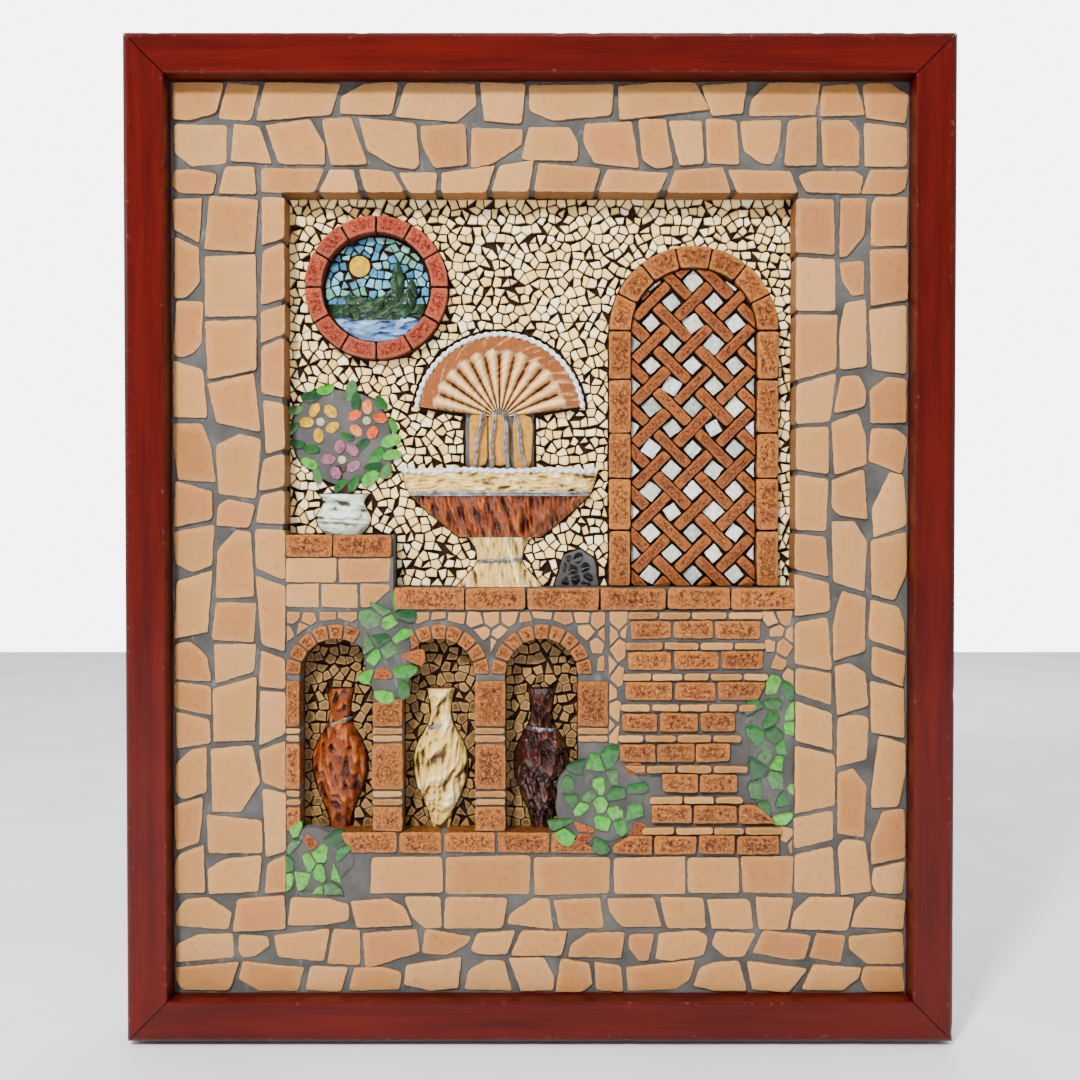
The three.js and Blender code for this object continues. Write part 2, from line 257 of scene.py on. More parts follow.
def soften(outline, radius, step, wobble, rng):
    """The outline with rounded corners, and edges broken into short, slightly uneven lengths."""
    corners = np.asarray(outline, float)
    ends = []
    for i, corner in enumerate(corners):
        before = corners[i - 1] - corner
        after = corners[(i + 1) % len(corners)] - corner
        reach = radius * rng.uniform(0.5, 1.5)
        a = corner + before * min(0.45, reach / (np.hypot(*before) + 1e-9))
        b = corner + after * min(0.45, reach / (np.hypot(*after) + 1e-9))
        ends.append((a, 0.25 * a + 0.5 * corner + 0.25 * b, b))
    points = []
    for i, (a, middle, b) in enumerate(ends):
        points += [a, middle, b]
        edge = ends[(i + 1) % len(ends)][0] - b
        length = np.hypot(*edge)
        pieces = int(length / step)
        normal = np.array([edge[1], -edge[0]]) / (length + 1e-9)
        for k in range(1, pieces):
            points.append(b + edge * k / pieces + normal * wobble * rng.uniform(-1, 1))
    return np.array(points)


def edge_distance(outline, point):
    """Signed distance from a point to an outline, positive outside, and its nearest edge point."""
    a = np.asarray(outline)
    b = np.roll(a, -1, axis=0)
    along = b - a
    to_point = point - a
    t = np.clip((to_point * along).sum(1) / ((along**2).sum(1) + 1e-12), 0, 1)
    nearest = a + along * t[:, None]
    distances = np.hypot(*(point - nearest).T)
    crossing = (a[:, 1] > point[1]) != (b[:, 1] > point[1])
    with np.errstate(divide="ignore", invalid="ignore"):
        x_cross = a[:, 0] + along[:, 0] * (point[1] - a[:, 1]) / along[:, 1]
    inside = np.count_nonzero(crossing & (x_cross > point[0])) % 2 == 1
    i = int(np.argmin(distances))
    return (-distances[i] if inside else distances[i]), nearest[i]


def cut_around(outline, obstacles, joint, smallest):
    """The outline cut back from each obstacle it reaches, or nothing if too little is left."""
    for obstacle in obstacles:
        if len(outline) < 3:
            return []
        corners = np.asarray(outline)
        low, high = corners.min(0) - joint, corners.max(0) + joint
        if (obstacle.max(0) < low).any() or (obstacle.min(0) > high).any():
            continue
        centre = corners.mean(0)
        distance, nearest = edge_distance(obstacle, centre)
        reach = np.hypot(*(corners - centre).T).max()
        if distance > reach + joint:
            continue
        if distance < -0.35 * reach:
            return []
        outward = (centre - nearest) * (1 if distance > 0 else -1)
        outward /= np.hypot(*outward) + 1e-9
        outline = clip(outline, nearest + outward * joint, -outward)
    return outline if len(outline) > 2 and area(outline) > smallest else []


def cells(points, reach):
    """Voronoi cells of the points, as counter-clockwise outlines no further than `reach` away."""
    points = np.asarray(points, float)
    outlines = []
    for i, (x, z) in enumerate(points):
        offsets = points - points[i]
        distances = np.hypot(offsets[:, 0], offsets[:, 1])
        near = np.flatnonzero(distances < 2 * reach)
        near = near[np.argsort(distances[near])][1:]
        outline = [tuple(p) for p in rectangle(x - reach, x + reach, z - reach, z + reach)]
        for j in near:
            furthest = max(math.hypot(px - x, pz - z) for px, pz in outline)
            if distances[j] > 2 * furthest:
                break
            outline = clip(outline, points[i] + offsets[j] / 2, offsets[j])
        outlines.append(outline)
    return outlines


def scattered(low, high, spacing, jitter, rng):
    """Points between two corners, in staggered rows shaken out of line."""
    points = []
    columns, rows = np.maximum(1, np.round((high - low) / [spacing, ROW_HEIGHT * spacing])).astype(int)
    for row in range(rows):
        for column in range(columns + 1):
            at = low + (high - low) * [(column + 0.5 * (row % 2)) / columns, (row + 0.5) / rows]
            points.append(at + rng.uniform(-jitter, jitter, 2) * spacing)
    return np.array(points)


def pieces_over(boundary, obstacles, spacing, jitter, reach, edge, joint, smallest, rng):
    """Voronoi cells over a convex area, cut back from its edge and from its obstacles."""
    for cell in cells(scattered(boundary.min(0), boundary.max(0), spacing, jitter, rng), reach):
        cell = cut_around(clip_to(cell, boundary, edge), obstacles, joint, smallest)
        if len(cell):
            yield cell


# ---- meshes --------------------------------------------------------------------------------------


PIGMENT_DEPTH = 1.6  # deepens each colour, because the studio is bright and the film soft


def pigment(code):
    """The linear colour of a surface that looks like an sRGB hex code in the studio's light."""
    channels = np.array([int(code[i : i + 2], 16) for i in (0, 2, 4)]) / 255
    linear = np.where(channels > 0.04045, ((channels + 0.055) / 1.055) ** 2.4, channels / 12.92)
    return linear**PIGMENT_DEPTH


def pigments(*codes):
    return [pigment(code) for code in codes]


def one_of(paints, rng, low=0.92, high=1.06):
    """One of the paints, a little darker or lighter."""
    return paints[rng.integers(len(paints))] * rng.uniform(low, high)


def face_outward(mesh):
    shape = bmesh.new()
    shape.from_mesh(mesh)
    bmesh.ops.recalc_face_normals(shape, faces=shape.faces)
    shape.to_mesh(mesh)
    shape.free()


CRUMPLE_FOLDS = 8


class Gathered:
    """Closed solids gathered into one object, whose points are x, depth, z in millimetres.

    Each point has a paint colour, and three marks: its wear or fold height, its piece's random number,
    and whether it is on a cut side, which on the frame's rails holds painted shade instead.
    """

    def __init__(self, name):
        self.name = name
        self.rng = dice(name)
        self.points, self.paints, self.marks, self.faces = [], [], [], []
        self.total = 0

    def add(self, points, faces, paint, wear=0.0, side=0.0):
        count = len(points)
        self.points.append(points)
        self.paints.append(np.broadcast_to(paint, (count, 3)))
        marks = np.zeros((count, 3))
        marks[:, 0], marks[:, 1], marks[:, 2] = wear, self.rng.random(), side
        self.marks.append(marks)
        self.faces += [tuple(i + self.total for i in face) for face in faces]
        self.total += count

    def build(self, look, slot, *replaced, smooth=35):
        mesh = bpy.data.meshes.new(self.name)
        points = np.concatenate(self.points) * [MM, -MM, MM]
        mesh.from_pydata(points.tolist(), [], self.faces)
        for name, rows in (("paint", self.paints), ("marks", self.marks)):
            values = np.ones((self.total, 4))
            values[:, :3] = np.concatenate(rows)
            mesh.attributes.new(name, "FLOAT_COLOR", "POINT").data.foreach_set("color", values.ravel())
        face_outward(mesh)
        mesh.materials.append(look)
        mesh.shade_smooth()
        mesh.set_sharp_from_angle(angle=math.radians(smooth))
        piece = bpy.data.objects.new(self.name, mesh)
        bpy.context.collection.objects.link(piece)
        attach(piece, "root")
        if replaced:
            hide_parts(*replaced)
        return piece


GREY = (0.2, 0.2, 0.2)  # paint of the grout, whose look has its own colours


def outward(outline):
    """Unit normals of a counter-clockwise outline at its points."""
    along = np.roll(outline, -1, axis=0) - np.roll(outline, 1, axis=0)
    normals = np.column_stack([along[:, 1], -along[:, 0]])
    return normals / (np.hypot(*normals.T)[:, None] + 1e-9)


def ring_faces(rings, count):
    """Quads between each ring of `count` points and the next."""
    faces = []
    for ring in range(rings - 1):
        low, high = ring * count, (ring + 1) * count
        for i in range(count):
            j = (i + 1) % count
            faces.append((low + i, low + j, high + j, high + i))
    return faces


def tube_faces(rings, count):
    """Quads from ring to ring, and a face at each end."""
    last = (rings - 1) * count
    caps = [tuple(range(count)), tuple(last + i for i in range(count - 1, -1, -1))]
    return ring_faces(rings, count) + caps


def shard(
    batch, outline, back, front, paint,
    arris=0.5, crown=0.0, rough=0.0, rings=1, flare=0.0, tilt=0.0, painted_edge_shade=0.45,
):
    """One chip, tile or block: up its sides, over its worn arris with painted shade at its foot, and in
    across its uneven face.
    """
    outline = np.asarray(outline, float)
    count = len(outline)
    centre = outline.mean(0)
    normals = outward(outline)
    lean = batch.rng.normal(0, tilt, 2) if tilt else np.zeros(2)
    edge = outline - normals * arris
    levels = [
        (outline + normals * flare, back, 0.0, 1.0),
        (outline, front - arris - 0.5, 0.0, 0.9),
        (outline, front - arris, 0.2, 0.9),
        (outline - normals * 0.3 * arris, front - 0.3 * arris, 1.0, 0.1),
        (edge, front, 0.75, 0.0),
    ]
    for ring in range(rings):
        share = (ring + 1) / (rings + 1)
        levels.append((edge + (centre - edge) * share, front + crown * (1 - (1 - share) ** 2), 0.0, 0.0))
    flat = np.vstack([level[0] for level in levels] + [centre[None]])
    depths, wear, side = (
        np.append(np.repeat([level[k] for level in levels], count), middle)
        for k, middle in ((1, front + crown), (2, 0.0), (3, 0.0))
    )
    # Painted shade along each piece's edges: the paint is darkened at the foot of the arris and partway up
    # it.
    shades = np.ones((len(flat), 1))
    shades[2 * count : 3 * count] = painted_edge_shade
    shades[3 * count : 4 * count] = (1 + painted_edge_shade) / 2
    facing = np.arange(len(flat)) >= count
    depths[facing] += (flat[facing] - centre) @ lean
    if rough:
        depths[facing] += rough * smooth_noise(flat[facing] + 900 * batch.rng.random(2), 7.0)
        depths[facing] += 0.5 * rough * smooth_noise(flat[facing], 2.4, seed=5)
    faces = ring_faces(len(levels), count)
    last, middle = (len(levels) - 1) * count, len(flat) - 1
    faces += [(last + i, last + (i + 1) % count, middle) for i in range(count)]
    faces.append(tuple(range(count - 1, -1, -1)))
    batch.add(np.column_stack([flat[:, 0], depths, flat[:, 1]]), faces, paint * shades, wear, side)


def relief(batch, columns, rows, back, front):
    """A solid with a flat back: front(s, t) gives x, depth, z, paint and fold height over a grid."""
    s, t = np.meshgrid(np.linspace(0, 1, columns + 1), np.linspace(0, 1, rows + 1))
    x, depth, z, paint, height = front(s.ravel(), t.ravel())
    grid = np.column_stack([x, depth, z])
    at = np.arange(len(grid)).reshape(rows + 1, columns + 1)
    border = np.concatenate([at[0, :-1], at[:-1, -1], at[-1, :0:-1], at[:0:-1, 0]])
    skirt = grid[border] * [1, 0, 1] + [0, back, 0]
    faces = np.stack([at[:-1, :-1], at[:-1, 1:], at[1:, 1:], at[1:, :-1]], axis=-1).reshape(-1, 4).tolist()
    first, count = len(grid), len(border)
    for i in range(count):
        j = (i + 1) % count
        faces.append((int(border[i]), first + i, first + j, int(border[j])))
    faces.append(tuple(first + i for i in range(count - 1, -1, -1)))
    paint = np.broadcast_to(paint, (len(grid), 3))
    # The skirt's fold height is cut to 0.3 of its edge's, so fold looks give its sides their painted crease
    # shade.
    batch.add(
        np.vstack([grid, skirt]),
        faces,
        np.vstack([paint, paint[border]]),
        np.concatenate([height, height[border] * 0.3]),
        np.concatenate([np.zeros(first), np.ones(count)]),
    )


def sweep(batch, path, section, paint, wear=0.0):
    """A closed strand along a path of x, depth, z: section(i) gives its points as (across, out)."""
    path = np.asarray(path, float)
    along = np.gradient(path, axis=0)
    flat = np.column_stack([along[:, 2], -along[:, 0]])
    flat /= np.hypot(*flat.T)[:, None] + 1e-9
    rings = []
    for i, (point, across) in enumerate(zip(path, flat)):
        u, v = np.asarray(section(i)).T
        rings.append(point + np.column_stack([u * across[0], v, u * across[1]]))
    batch.add(np.vstack(rings), tube_faces(len(rings), len(rings[0])), paint, wear)


def twisted_cord(batch, path, radius, turn, paint):
    """Two plies twisted together, with one turn in each `turn` millimetres."""
    path = np.asarray(path, float)
    travelled = np.concatenate([[0], np.cumsum(np.linalg.norm(np.diff(path, axis=0), axis=1))])
    angles = np.linspace(0, TAU, 14, endpoint=False)

    def section(i):
        lobes = radius * (0.8 + 0.28 * np.cos(2 * (angles - TAU * travelled[i] / turn / 2)))
        return np.column_stack([lobes * np.cos(angles), lobes * np.sin(angles)])

    sweep(batch, path, section, paint)


def metal_band(batch, path, width, thick, paint):
    """A thin strip laid along a path, with crinkled edges."""
    rng = batch.rng

    def section(i):
        w, h = width / 2 * rng.uniform(0.86, 1.08), thick * rng.uniform(0.8, 1.15)
        across = w * np.array([-1, -1, -0.7, -0.1, 0.5, 1, 1, 0])
        out = h * np.array([0, 0.7, 1, 0.7, 1, 0.6, 0, 0])
        out[-1] = -0.4 * thick
        return np.column_stack([across, out])

    sweep(batch, path, section, paint, wear=0.5)


def crumple(points, cell, seed, stretch=(1.0, 1.0)):
    """Height from about -1 to 1 of creased facets, as in crumpled foil, over points in millimetres."""
    rng = np.random.default_rng(seed)
    spots = points / np.asarray(stretch) / cell
    spots = spots + 0.3 * np.column_stack([smooth_noise(spots, 1.7, seed + axis) for axis in (1, 2)])
    height = np.zeros(len(spots))
    for fold in range(CRUMPLE_FOLDS):
        angle = rng.uniform(0, math.pi)
        wave = spots @ [math.cos(angle), math.sin(angle)] * rng.uniform(0.35, 0.6) * 1.22**fold
        wave += 0.45 * height + rng.random()
        crease = 4 * abs(wave - np.floor(wave + 0.5)) - 1
        height += 0.55 * 0.86**fold * crease * (0.65 + 0.5 * smooth_noise(spots, 2.4, seed + fold))
    return np.clip(height / 1.15, -1, 1)


# ---- materials -----------------------------------------------------------------------------------


class Look:
    """A procedural material around one Principled shader; sizes of patterns are in millimetres."""

    def __init__(self, name, **sockets):
        self.material = bpy.data.materials.new(name)
        self.material.use_nodes = True
        self.tree = self.material.node_tree
        self.shader = self.tree.nodes["Principled BSDF"]
        for socket, value in sockets.items():
            self.shader.inputs[socket.replace("_", " ")].default_value = value
        self.place = self.node("TexCoord").outputs["Object"]

    def node(self, kind, **settings):
        made = self.tree.nodes.new("ShaderNode" + kind)
        for setting, value in settings.items():
            setattr(made, setting, value)
        return made

    def feed(self, socket, value):
        if isinstance(value, bpy.types.NodeSocket):
            self.tree.links.new(value, socket)
        elif isinstance(value, str):
            socket.default_value = (*pigment(value), 1.0)
        else:
            socket.default_value = value

    def attribute(self, name, output="Color"):
        return self.node("Attribute", attribute_name=name).outputs[output]

    def marks(self):
        """Wear or fold height, random number and cut side of the point; on the frame's rails the third
        holds painted shade.
        """
        parts = self.node("SeparateXYZ")
        self.feed(parts.inputs[0], self.attribute("marks", "Vector"))
        return parts.outputs

    def stretched(self, across, deep, up, place=None):
        """The place with lengths along each axis drawn out by a factor."""
        mapping = self.node("Mapping")
        self.feed(mapping.inputs["Vector"], place or self.place)
        mapping.inputs["Scale"].default_value = (1 / across, 1 / deep, 1 / up)
        return mapping.outputs[0]

    def noise(self, size, detail=3.0, rough=0.55, place=None, bend=0.0):
        texture = self.node("TexNoise")
        self.feed(texture.inputs["Vector"], place or self.place)
        for socket, value in (("Scale", 1 / (size * MM)), ("Detail", detail), ("Roughness", rough)):
            texture.inputs[socket].default_value = value
        texture.inputs["Distortion"].default_value = bend
        return texture.outputs["Fac"]

    def spots(self, size):
        """Distance from scattered points, as a share of their spacing."""
        texture = self.node("TexVoronoi")
        self.feed(texture.inputs["Vector"], self.place)
        texture.inputs["Scale"].default_value = 1 / (size * MM)
        return texture.outputs["Distance"]

    def ramp(self, value, *stops):
        """Colours, or greys given as numbers, along a value."""
        node = self.node("ValToRGB")
        self.feed(node.inputs["Fac"], value)
        elements = node.color_ramp.elements
        elements.remove(elements[1])
        elements[0].position = stops[0][0]
        for position, _ in stops[1:]:
            elements.new(position)
        for element, (_, colour) in zip(elements, stops):
            element.color = (*(pigment(colour) if isinstance(colour, str) else (colour,) * 3), 1.0)
        return node.outputs["Color"]

    def mix(self, share, first, second, blend="MIX"):
        node = self.node("Mix", data_type="RGBA", blend_type=blend)
        self.feed(node.inputs["Factor"], share)
        self.feed(node.inputs[6], first)
        self.feed(node.inputs[7], second)
        return node.outputs[2]

    def maths(self, first, second, operation="MULTIPLY"):
        node = self.node("Math", operation=operation)
        self.feed(node.inputs[0], first)
        self.feed(node.inputs[1], second)
        return node.outputs[0]

    def shaded(self, colour, value, dark, low=0.0, high=1.0):
        """The colour darkened by a factor where the value is low."""
        factor = self.ramp(value, (low, dark), (high, 1.0))
        return self.mix(1.0, colour, factor, "MULTIPLY")

    def span(self, value, low, high):
        """The value drawn out to run from one number to another."""
        node = self.node("MapRange")
        self.feed(node.inputs["Value"], value)
        node.inputs["To Min"].default_value = low
        node.inputs["To Max"].default_value = high
        return node.outputs["Result"]

    def bump(self, height, depth, strength=1.0, before=None):
        node = self.node("Bump")
        node.inputs["Strength"].default_value = strength
        node.inputs["Distance"].default_value = depth * MM
        self.feed(node.inputs["Height"], height)
        if before:
            self.feed(node.inputs["Normal"], before)
        return node.outputs["Normal"]

    def finish(self, colour, roughness=None, normal=None):
        self.feed(self.shader.inputs["Base Color"], colour)
        if roughness:
            self.feed(self.shader.inputs["Roughness"], roughness)
        if normal:
            self.feed(self.shader.inputs["Normal"], normal)
        return self.material


def lacquer_look():
    """Mahogany lacquer: fine grain drawn out along each rail, painted shade on its back, sides and outer
    round, a few rubbed spots.
    """
    look = Look("mahogany_lacquer", Coat_Weight=0.08, Coat_Roughness=0.2, Specular_IOR_Level=0.14)
    along = look.attribute("grain", "Vector")
    wear, _, dark = look.marks()
    fine = look.noise(1.0, 3, 0.6, look.stretched(60, 1, 1, along))
    broad = look.noise(9, 2, 0.5, look.stretched(16, 1, 1, along))
    cloud = look.noise(110, 2, 0.5)
    colour = look.ramp(fine, (0.3, "581f1c"), (0.5, "6c2b26"), (0.72, "80352a"))
    colour = look.mix(0.5, colour, look.ramp(broad, (0.3, "5e2420"), (0.7, "84362a")))
    colour = look.mix(look.span(cloud, -0.25, 0.4), colour, "8c3c2e")
    # Painted shade: up to 0.65 towards dark red-brown where the rail's shade mark is high.
    colour = look.mix(look.maths(dark, 0.65), colour, "4a1c18")
    scuff = look.maths(wear, look.ramp(look.noise(5, 4, 0.7), (0.6, 0.0), (0.7, 1.0)))
    colour = look.mix(look.maths(scuff, 0.45), colour, "b0837a")
    roughness = look.span(look.noise(14, 4, 0.65), 0.3, 0.5)
    normal = look.bump(fine, 0.12, 0.5, look.bump(look.noise(30, 2), 0.5, 0.5))
    return look.finish(colour, roughness, normal)


def board_look():
    """Raw plywood at the back."""
    look = Look("plywood", Specular_IOR_Level=0.3)
    grain = look.noise(1.6, 4, 0.6, look.stretched(1, 1, 30))
    cloud = look.noise(60, 3, 0.6, look.stretched(1, 1, 3))
    fine = look.ramp(grain, (0.35, "8f6a41"), (0.65, "c29c6a"))
    broad = look.ramp(cloud, (0.35, "a07a4d"), (0.65, "c9a675"))
    colour = look.mix(0.45, fine, broad)
    return look.finish(colour, look.span(grain, 0.6, 0.8), look.bump(grain, 0.2, 0.6))


def grout_look():
    """Smoothed grey grout, with paler smears, darker damp patches and pin holes."""
    look = Look("grey_grout", Specular_IOR_Level=0.25)
    cloud = look.noise(34, 4, 0.6)
    smear = look.noise(12, 4, 0.7, look.stretched(1.0, 1.0, 2.2), 0.6)
    colour = look.ramp(cloud, (0.3, "696866"), (0.52, "797876"), (0.75, "888785"))
    colour = look.mix(look.ramp(smear, (0.6, 0.0), (0.75, 0.55)), colour, "a3a5a8")
    holes = look.ramp(look.spots(4.5), (0.04, 1.0), (0.12, 0.0))
    colour = look.mix(look.maths(holes, 0.6), colour, "3f3d40")
    normal = look.bump(look.noise(1.4, 3, 0.6), 0.25, 0.5, look.bump(look.noise(9, 3), 0.9, 0.6))
    return look.finish(colour, look.span(look.noise(3, 3), 0.75, 0.95), normal)


def mortar_look():
    """The dark, rough mortar between the fine chips."""
    look = Look("dark_mortar", Specular_IOR_Level=0.2)
    grain = look.noise(2.6, 4, 0.65)
    colour = look.ramp(grain, (0.35, "46362c"), (0.6, "5c493c"), (0.8, "766250"))
    return look.finish(colour, look.span(grain, 0.7, 0.95), look.bump(grain, 0.8, 0.8))


def fired_look(name, speckle, pale, dust=0.35, dull=0.86, grainy=0.86):
    """Unglazed fired tile in its own paint: soft clouds, dark specks, pale arrises partly worn and partly
    painted highlight, brown cut sides partly body colour and partly painted shade.
    """
    look = Look(name, Specular_IOR_Level=0.3)
    wear, chance, side = look.marks()
    cloud = look.noise(16, 4, 0.6)
    colour = look.mix(look.span(cloud, 0.0, 0.5), look.attribute("paint"), pale, "SOFT_LIGHT")
    blotch = look.ramp(look.noise(5, 4, 0.7), (0.55, 0.0), (0.72, dust))
    colour = look.mix(blotch, colour, "b98f66", "MULTIPLY")
    specks = look.ramp(look.spots(5.5), (0.035, 1.0), (0.075, 0.0))
    sparse = look.ramp(look.noise(13, 2), (0.5, 0.0), (0.6, 1.0))
    colour = look.mix(look.maths(specks, sparse), colour, speckle)
    # Pale arrises: partly wear, partly painted highlight on the edges.
    edge = look.ramp(look.noise(2.2, 3, 0.7), (0.35, 0.1), (0.65, 0.7))
    colour = look.mix(look.maths(wear, edge), colour, "dcbd90")
    # Brown cut sides: partly the body's colour, partly painted shade.
    colour = look.mix(look.maths(side, 0.7), colour, "80563a")
    grain = look.noise(1.3, 3, 0.75)
    colour = look.shaded(look.shaded(colour, grain, grainy, 0.3, 0.65), chance, dull)
    normal = look.bump(look.noise(0.7, 3, 0.6), 0.08, 0.5, look.bump(look.noise(7, 3), 0.35, 0.6))
    return look.finish(colour, look.span(look.noise(5, 3), 0.55, 0.75), normal)


def mottled_look(name, dark, pale, grain):
    """Fired clay mottled right through in spots of two sizes, with pale rubbed arrises."""
    look = Look(name, Specular_IOR_Level=0.35)
    wear, chance, side = look.marks()
    colour = look.mix(look.span(look.noise(13, 3), 0.0, 0.45), look.attribute("paint"), pale)
    mottle = look.noise(grain, 4, 0.7, None, 0.5)
    colour = look.mix(look.ramp(mottle, (0.49, 0.0), (0.6, 0.95)), colour, dark)
    colour = look.mix(look.ramp(mottle, (0.37, 0.8), (0.46, 0.0)), colour, pale)
    flecks = look.noise(grain * 0.5, 2, 0.6)
    colour = look.mix(look.ramp(flecks, (0.56, 0.0), (0.66, 0.8)), colour, dark)
    colour = look.mix(look.ramp(flecks, (0.33, 0.6), (0.42, 0.0)), colour, pale)
    rubbed = look.ramp(look.noise(3.5, 3, 0.7), (0.3, 0.25), (0.65, 0.85))
    colour = look.mix(look.maths(wear, rubbed), colour, pale)
    colour = look.mix(look.maths(side, 0.45), colour, "4a2416")
    colour = look.shaded(colour, chance, 0.8)
    normal = look.bump(flecks, 0.14, 0.6, look.bump(mottle, 0.3, 0.7))
    return look.finish(colour, look.span(mottle, 0.42, 0.68), normal)


def glazed_look(name, roughness, depth=0.3, coat=0.5, shade="6a6a6a", metal=0.0):
    """A smooth glaze or polish in its own paint, cloudy inside and a little uneven on top."""
    look = Look(name, Coat_Weight=coat, Coat_Roughness=0.08, Metallic=metal)
    _, chance, side = look.marks()
    cloud = look.noise(4.5, 4, 0.65)
    colour = look.mix(look.ramp(cloud, (0.42, 0.0), (0.7, 0.7)), look.attribute("paint"), shade, "MULTIPLY")
    colour = look.mix(look.maths(side, 0.45), colour, "2c2620")
    colour = look.shaded(colour, chance, 0.82)
    normal = look.bump(look.noise(3.2, 3, 0.6), depth, 0.7)
    return look.finish(colour, look.span(cloud, roughness * 0.7, roughness * 1.5), normal)


def fold_look(name, crease_shade_and_dirt, ridge_highlight, roughness, coat, wrinkle=0.6):
    """Painted and varnished folds: painted shade in the creases, painted highlight on the ridges, dirt in
    spots.
    """
    look = Look(name, Coat_Weight=coat, Coat_Roughness=0.1)
    height, _, side = look.marks()
    cloud = look.noise(6, 4, 0.65)
    uneven = look.maths(height, look.span(cloud, -0.22, 0.22), "ADD")
    # Painted shade in the creases, where the fold height is low.
    colour = look.mix(look.ramp(uneven, (0.18, 1.0), (0.45, 0.0)), look.attribute("paint"), crease_shade_and_dirt)
    # Painted highlight on the ridges, where the fold height is high.
    colour = look.mix(look.ramp(uneven, (0.6, 0.0), (0.9, 0.85)), colour, ridge_highlight)
    dirt = look.ramp(look.noise(1.6, 3, 0.7), (0.62, 0.0), (0.78, 0.5))
    # Dirt in random spots, in the crease shade's colour.
    colour = look.mix(dirt, colour, crease_shade_and_dirt)
    normal = look.bump(look.noise(1.5, 4, 0.65, None, 0.8), 0.5 * wrinkle, 0.6)
    normal = look.bump(look.noise(5, 2, 0.5, None, 1.5), 3 * wrinkle, 0.7, normal)
    return look.finish(colour, look.span(cloud, roughness * 0.6, roughness * 1.6), normal)


def silver_look():
    look = Look("silver_strip", Metallic=0.9, Specular_IOR_Level=0.6)
    tarnish = look.noise(5, 4, 0.7)
    colour = look.ramp(tarnish, (0.3, "6f6f72"), (0.5, "b6b8bb"), (0.7, "e6e8ea"))
    return look.finish(colour, look.span(tarnish, 0.18, 0.5), look.bump(look.noise(2.2, 3), 0.4, 0.8))


def cord_look():
    look = Look("white_cord", Specular_IOR_Level=0.5, Coat_Weight=0.2)
    dirt = look.noise(3.2, 4, 0.7)
    colour = look.ramp(dirt, (0.3, "a9adb2"), (0.48, "e2e4e6"), (0.7, "fafafa"))
    return look.finish(colour, look.span(dirt, 0.3, 0.6), look.bump(look.noise(0.8, 3), 0.25, 0.7))


LACQUER = lacquer_look()
GROUT = grout_look()
MORTAR = mortar_look()
TILE = fired_look("cream_tile", "5c4030", "c9b08a")
CHIP = fired_look("cream_chip", "6b5440", "f0e2be", 0.06, 0.97, 0.95)
TERRACOTTA = mottled_look("mottled_terracotta", "5c381e", "ce9a62", 2.9)
RUST = mottled_look("rust_strips", "5a3626", "c08a58", 2.0)
BRICK = mottled_look("red_brick", "702a1c", "c8866a", 2.1)
LEAF = glazed_look("leaf_chip", 0.34, 0.25, 0.35)
FRUIT = glazed_look("fruit_chip", 0.36, 0.25, 0.35)
BLUE_CHIP = glazed_look("blue_chip", 0.4, 0.2, 0.25)
PEARL_PIECE = glazed_look("pearl_piece", 0.14, 1.6, 0.8, shade="b2bab4", metal=0.2)
PEBBLE = glazed_look("black_pebble", 0.12, 0.3, 0.9)
OCHRE = glazed_look("ochre_tile", 0.42, 0.15, 0.3, shade="c9b28a")
SILVER = silver_look()
CORD = cord_look()
COPPER = fold_look("copper_lacquer", "4c2418", "cc8a4a", 0.26, 0.25)
CREAM = fold_look("cream_lacquer", "7c6238", "fff6d6", 0.24, 0.4)
CHOCOLATE = fold_look("chocolate_lacquer", "301a14", "84564a", 0.16, 0.6)
PALE_FOIL = fold_look("pale_foil", "66705e", "ffffff", 0.22, 0.5)
PEARL = fold_look("pearl_lacquer", "7c5a42", "f2dcac", 0.24, 0.4, wrinkle=0.15)
GREEN_GLAZE = fold_look("green_glaze", "28382a", "668a5c", 0.2, 0.5, wrinkle=0.35)
BLUE_PAINT = fold_look("blue_paint", "14305c", "c8d8e8", 0.2, 0.6, wrinkle=0.35)


# ---- frame, board and beds -----------------------------------------------------------------------

HALF_WIDTH = place("frame_right_rail")[1][0]
HALF_HEIGHT = FRAME_HIGH[2]
RAIL = FRAME_HIGH[2] - FRAME_LOW[2]
BOARD = place("backing_board")[1][1]
OUTER_ROUND = 6.0
INNER_ROUND = 1.5
REBATE = 6.0
MITRE_GAP = 0.3
OUTER_WEAR = 0.6  # wear of the outer arris, which alone is nicked


def rail_section():
    """Points of a rail's section as (in from the outer edge, depth, wear, dark), dark being painted shade.
    """
    foot = RAIL - REBATE
    # The last column is painted shade: full on the back, 0.8 on the outer side, 0.45 on the inner wall,
    # rising round the outer arris.
    points = [(0, 0, 0, 1), (foot / 2, 0, 0, 1), (foot, 0, 0, 1)]
    points += [(foot, BOARD + MITRE_GAP, 0, 1), (RAIL, BOARD + MITRE_GAP, 0, 1)]
    inner_top = FRAME_FRONT - INNER_ROUND
    for share in (0.4, 0.8, 0.97):
        depth = BOARD + MITRE_GAP + (inner_top - BOARD) * share
        points.append((RAIL, min(depth, inner_top - 0.5), 0, 0.45))
    for angle in np.linspace(0, math.pi / 2, 5):
        across, out = INNER_ROUND * math.cos(angle), INNER_ROUND * math.sin(angle)
        points.append((RAIL - INNER_ROUND + across, inner_top + out, 0.8, 0))
    for across in np.linspace(RAIL - INNER_ROUND, OUTER_ROUND, 12)[1:-1]:
        points.append((across, FRAME_FRONT, 0, 0))
    # Painted shade on the outer round, deeper towards the outer side.
    for angle in np.linspace(math.pi / 2, math.pi, 9):
        across, out = OUTER_ROUND * math.cos(angle), OUTER_ROUND * math.sin(angle)
        dark = 0.15 + 0.6 * (angle / math.pi * 2 - 1)
        points.append((OUTER_ROUND + across, FRAME_FRONT - OUTER_ROUND + out, OUTER_WEAR, dark))
    for depth in (38, 20, 6):
        points.append((0, depth, 0.1, 0.8))
    return np.array(points)


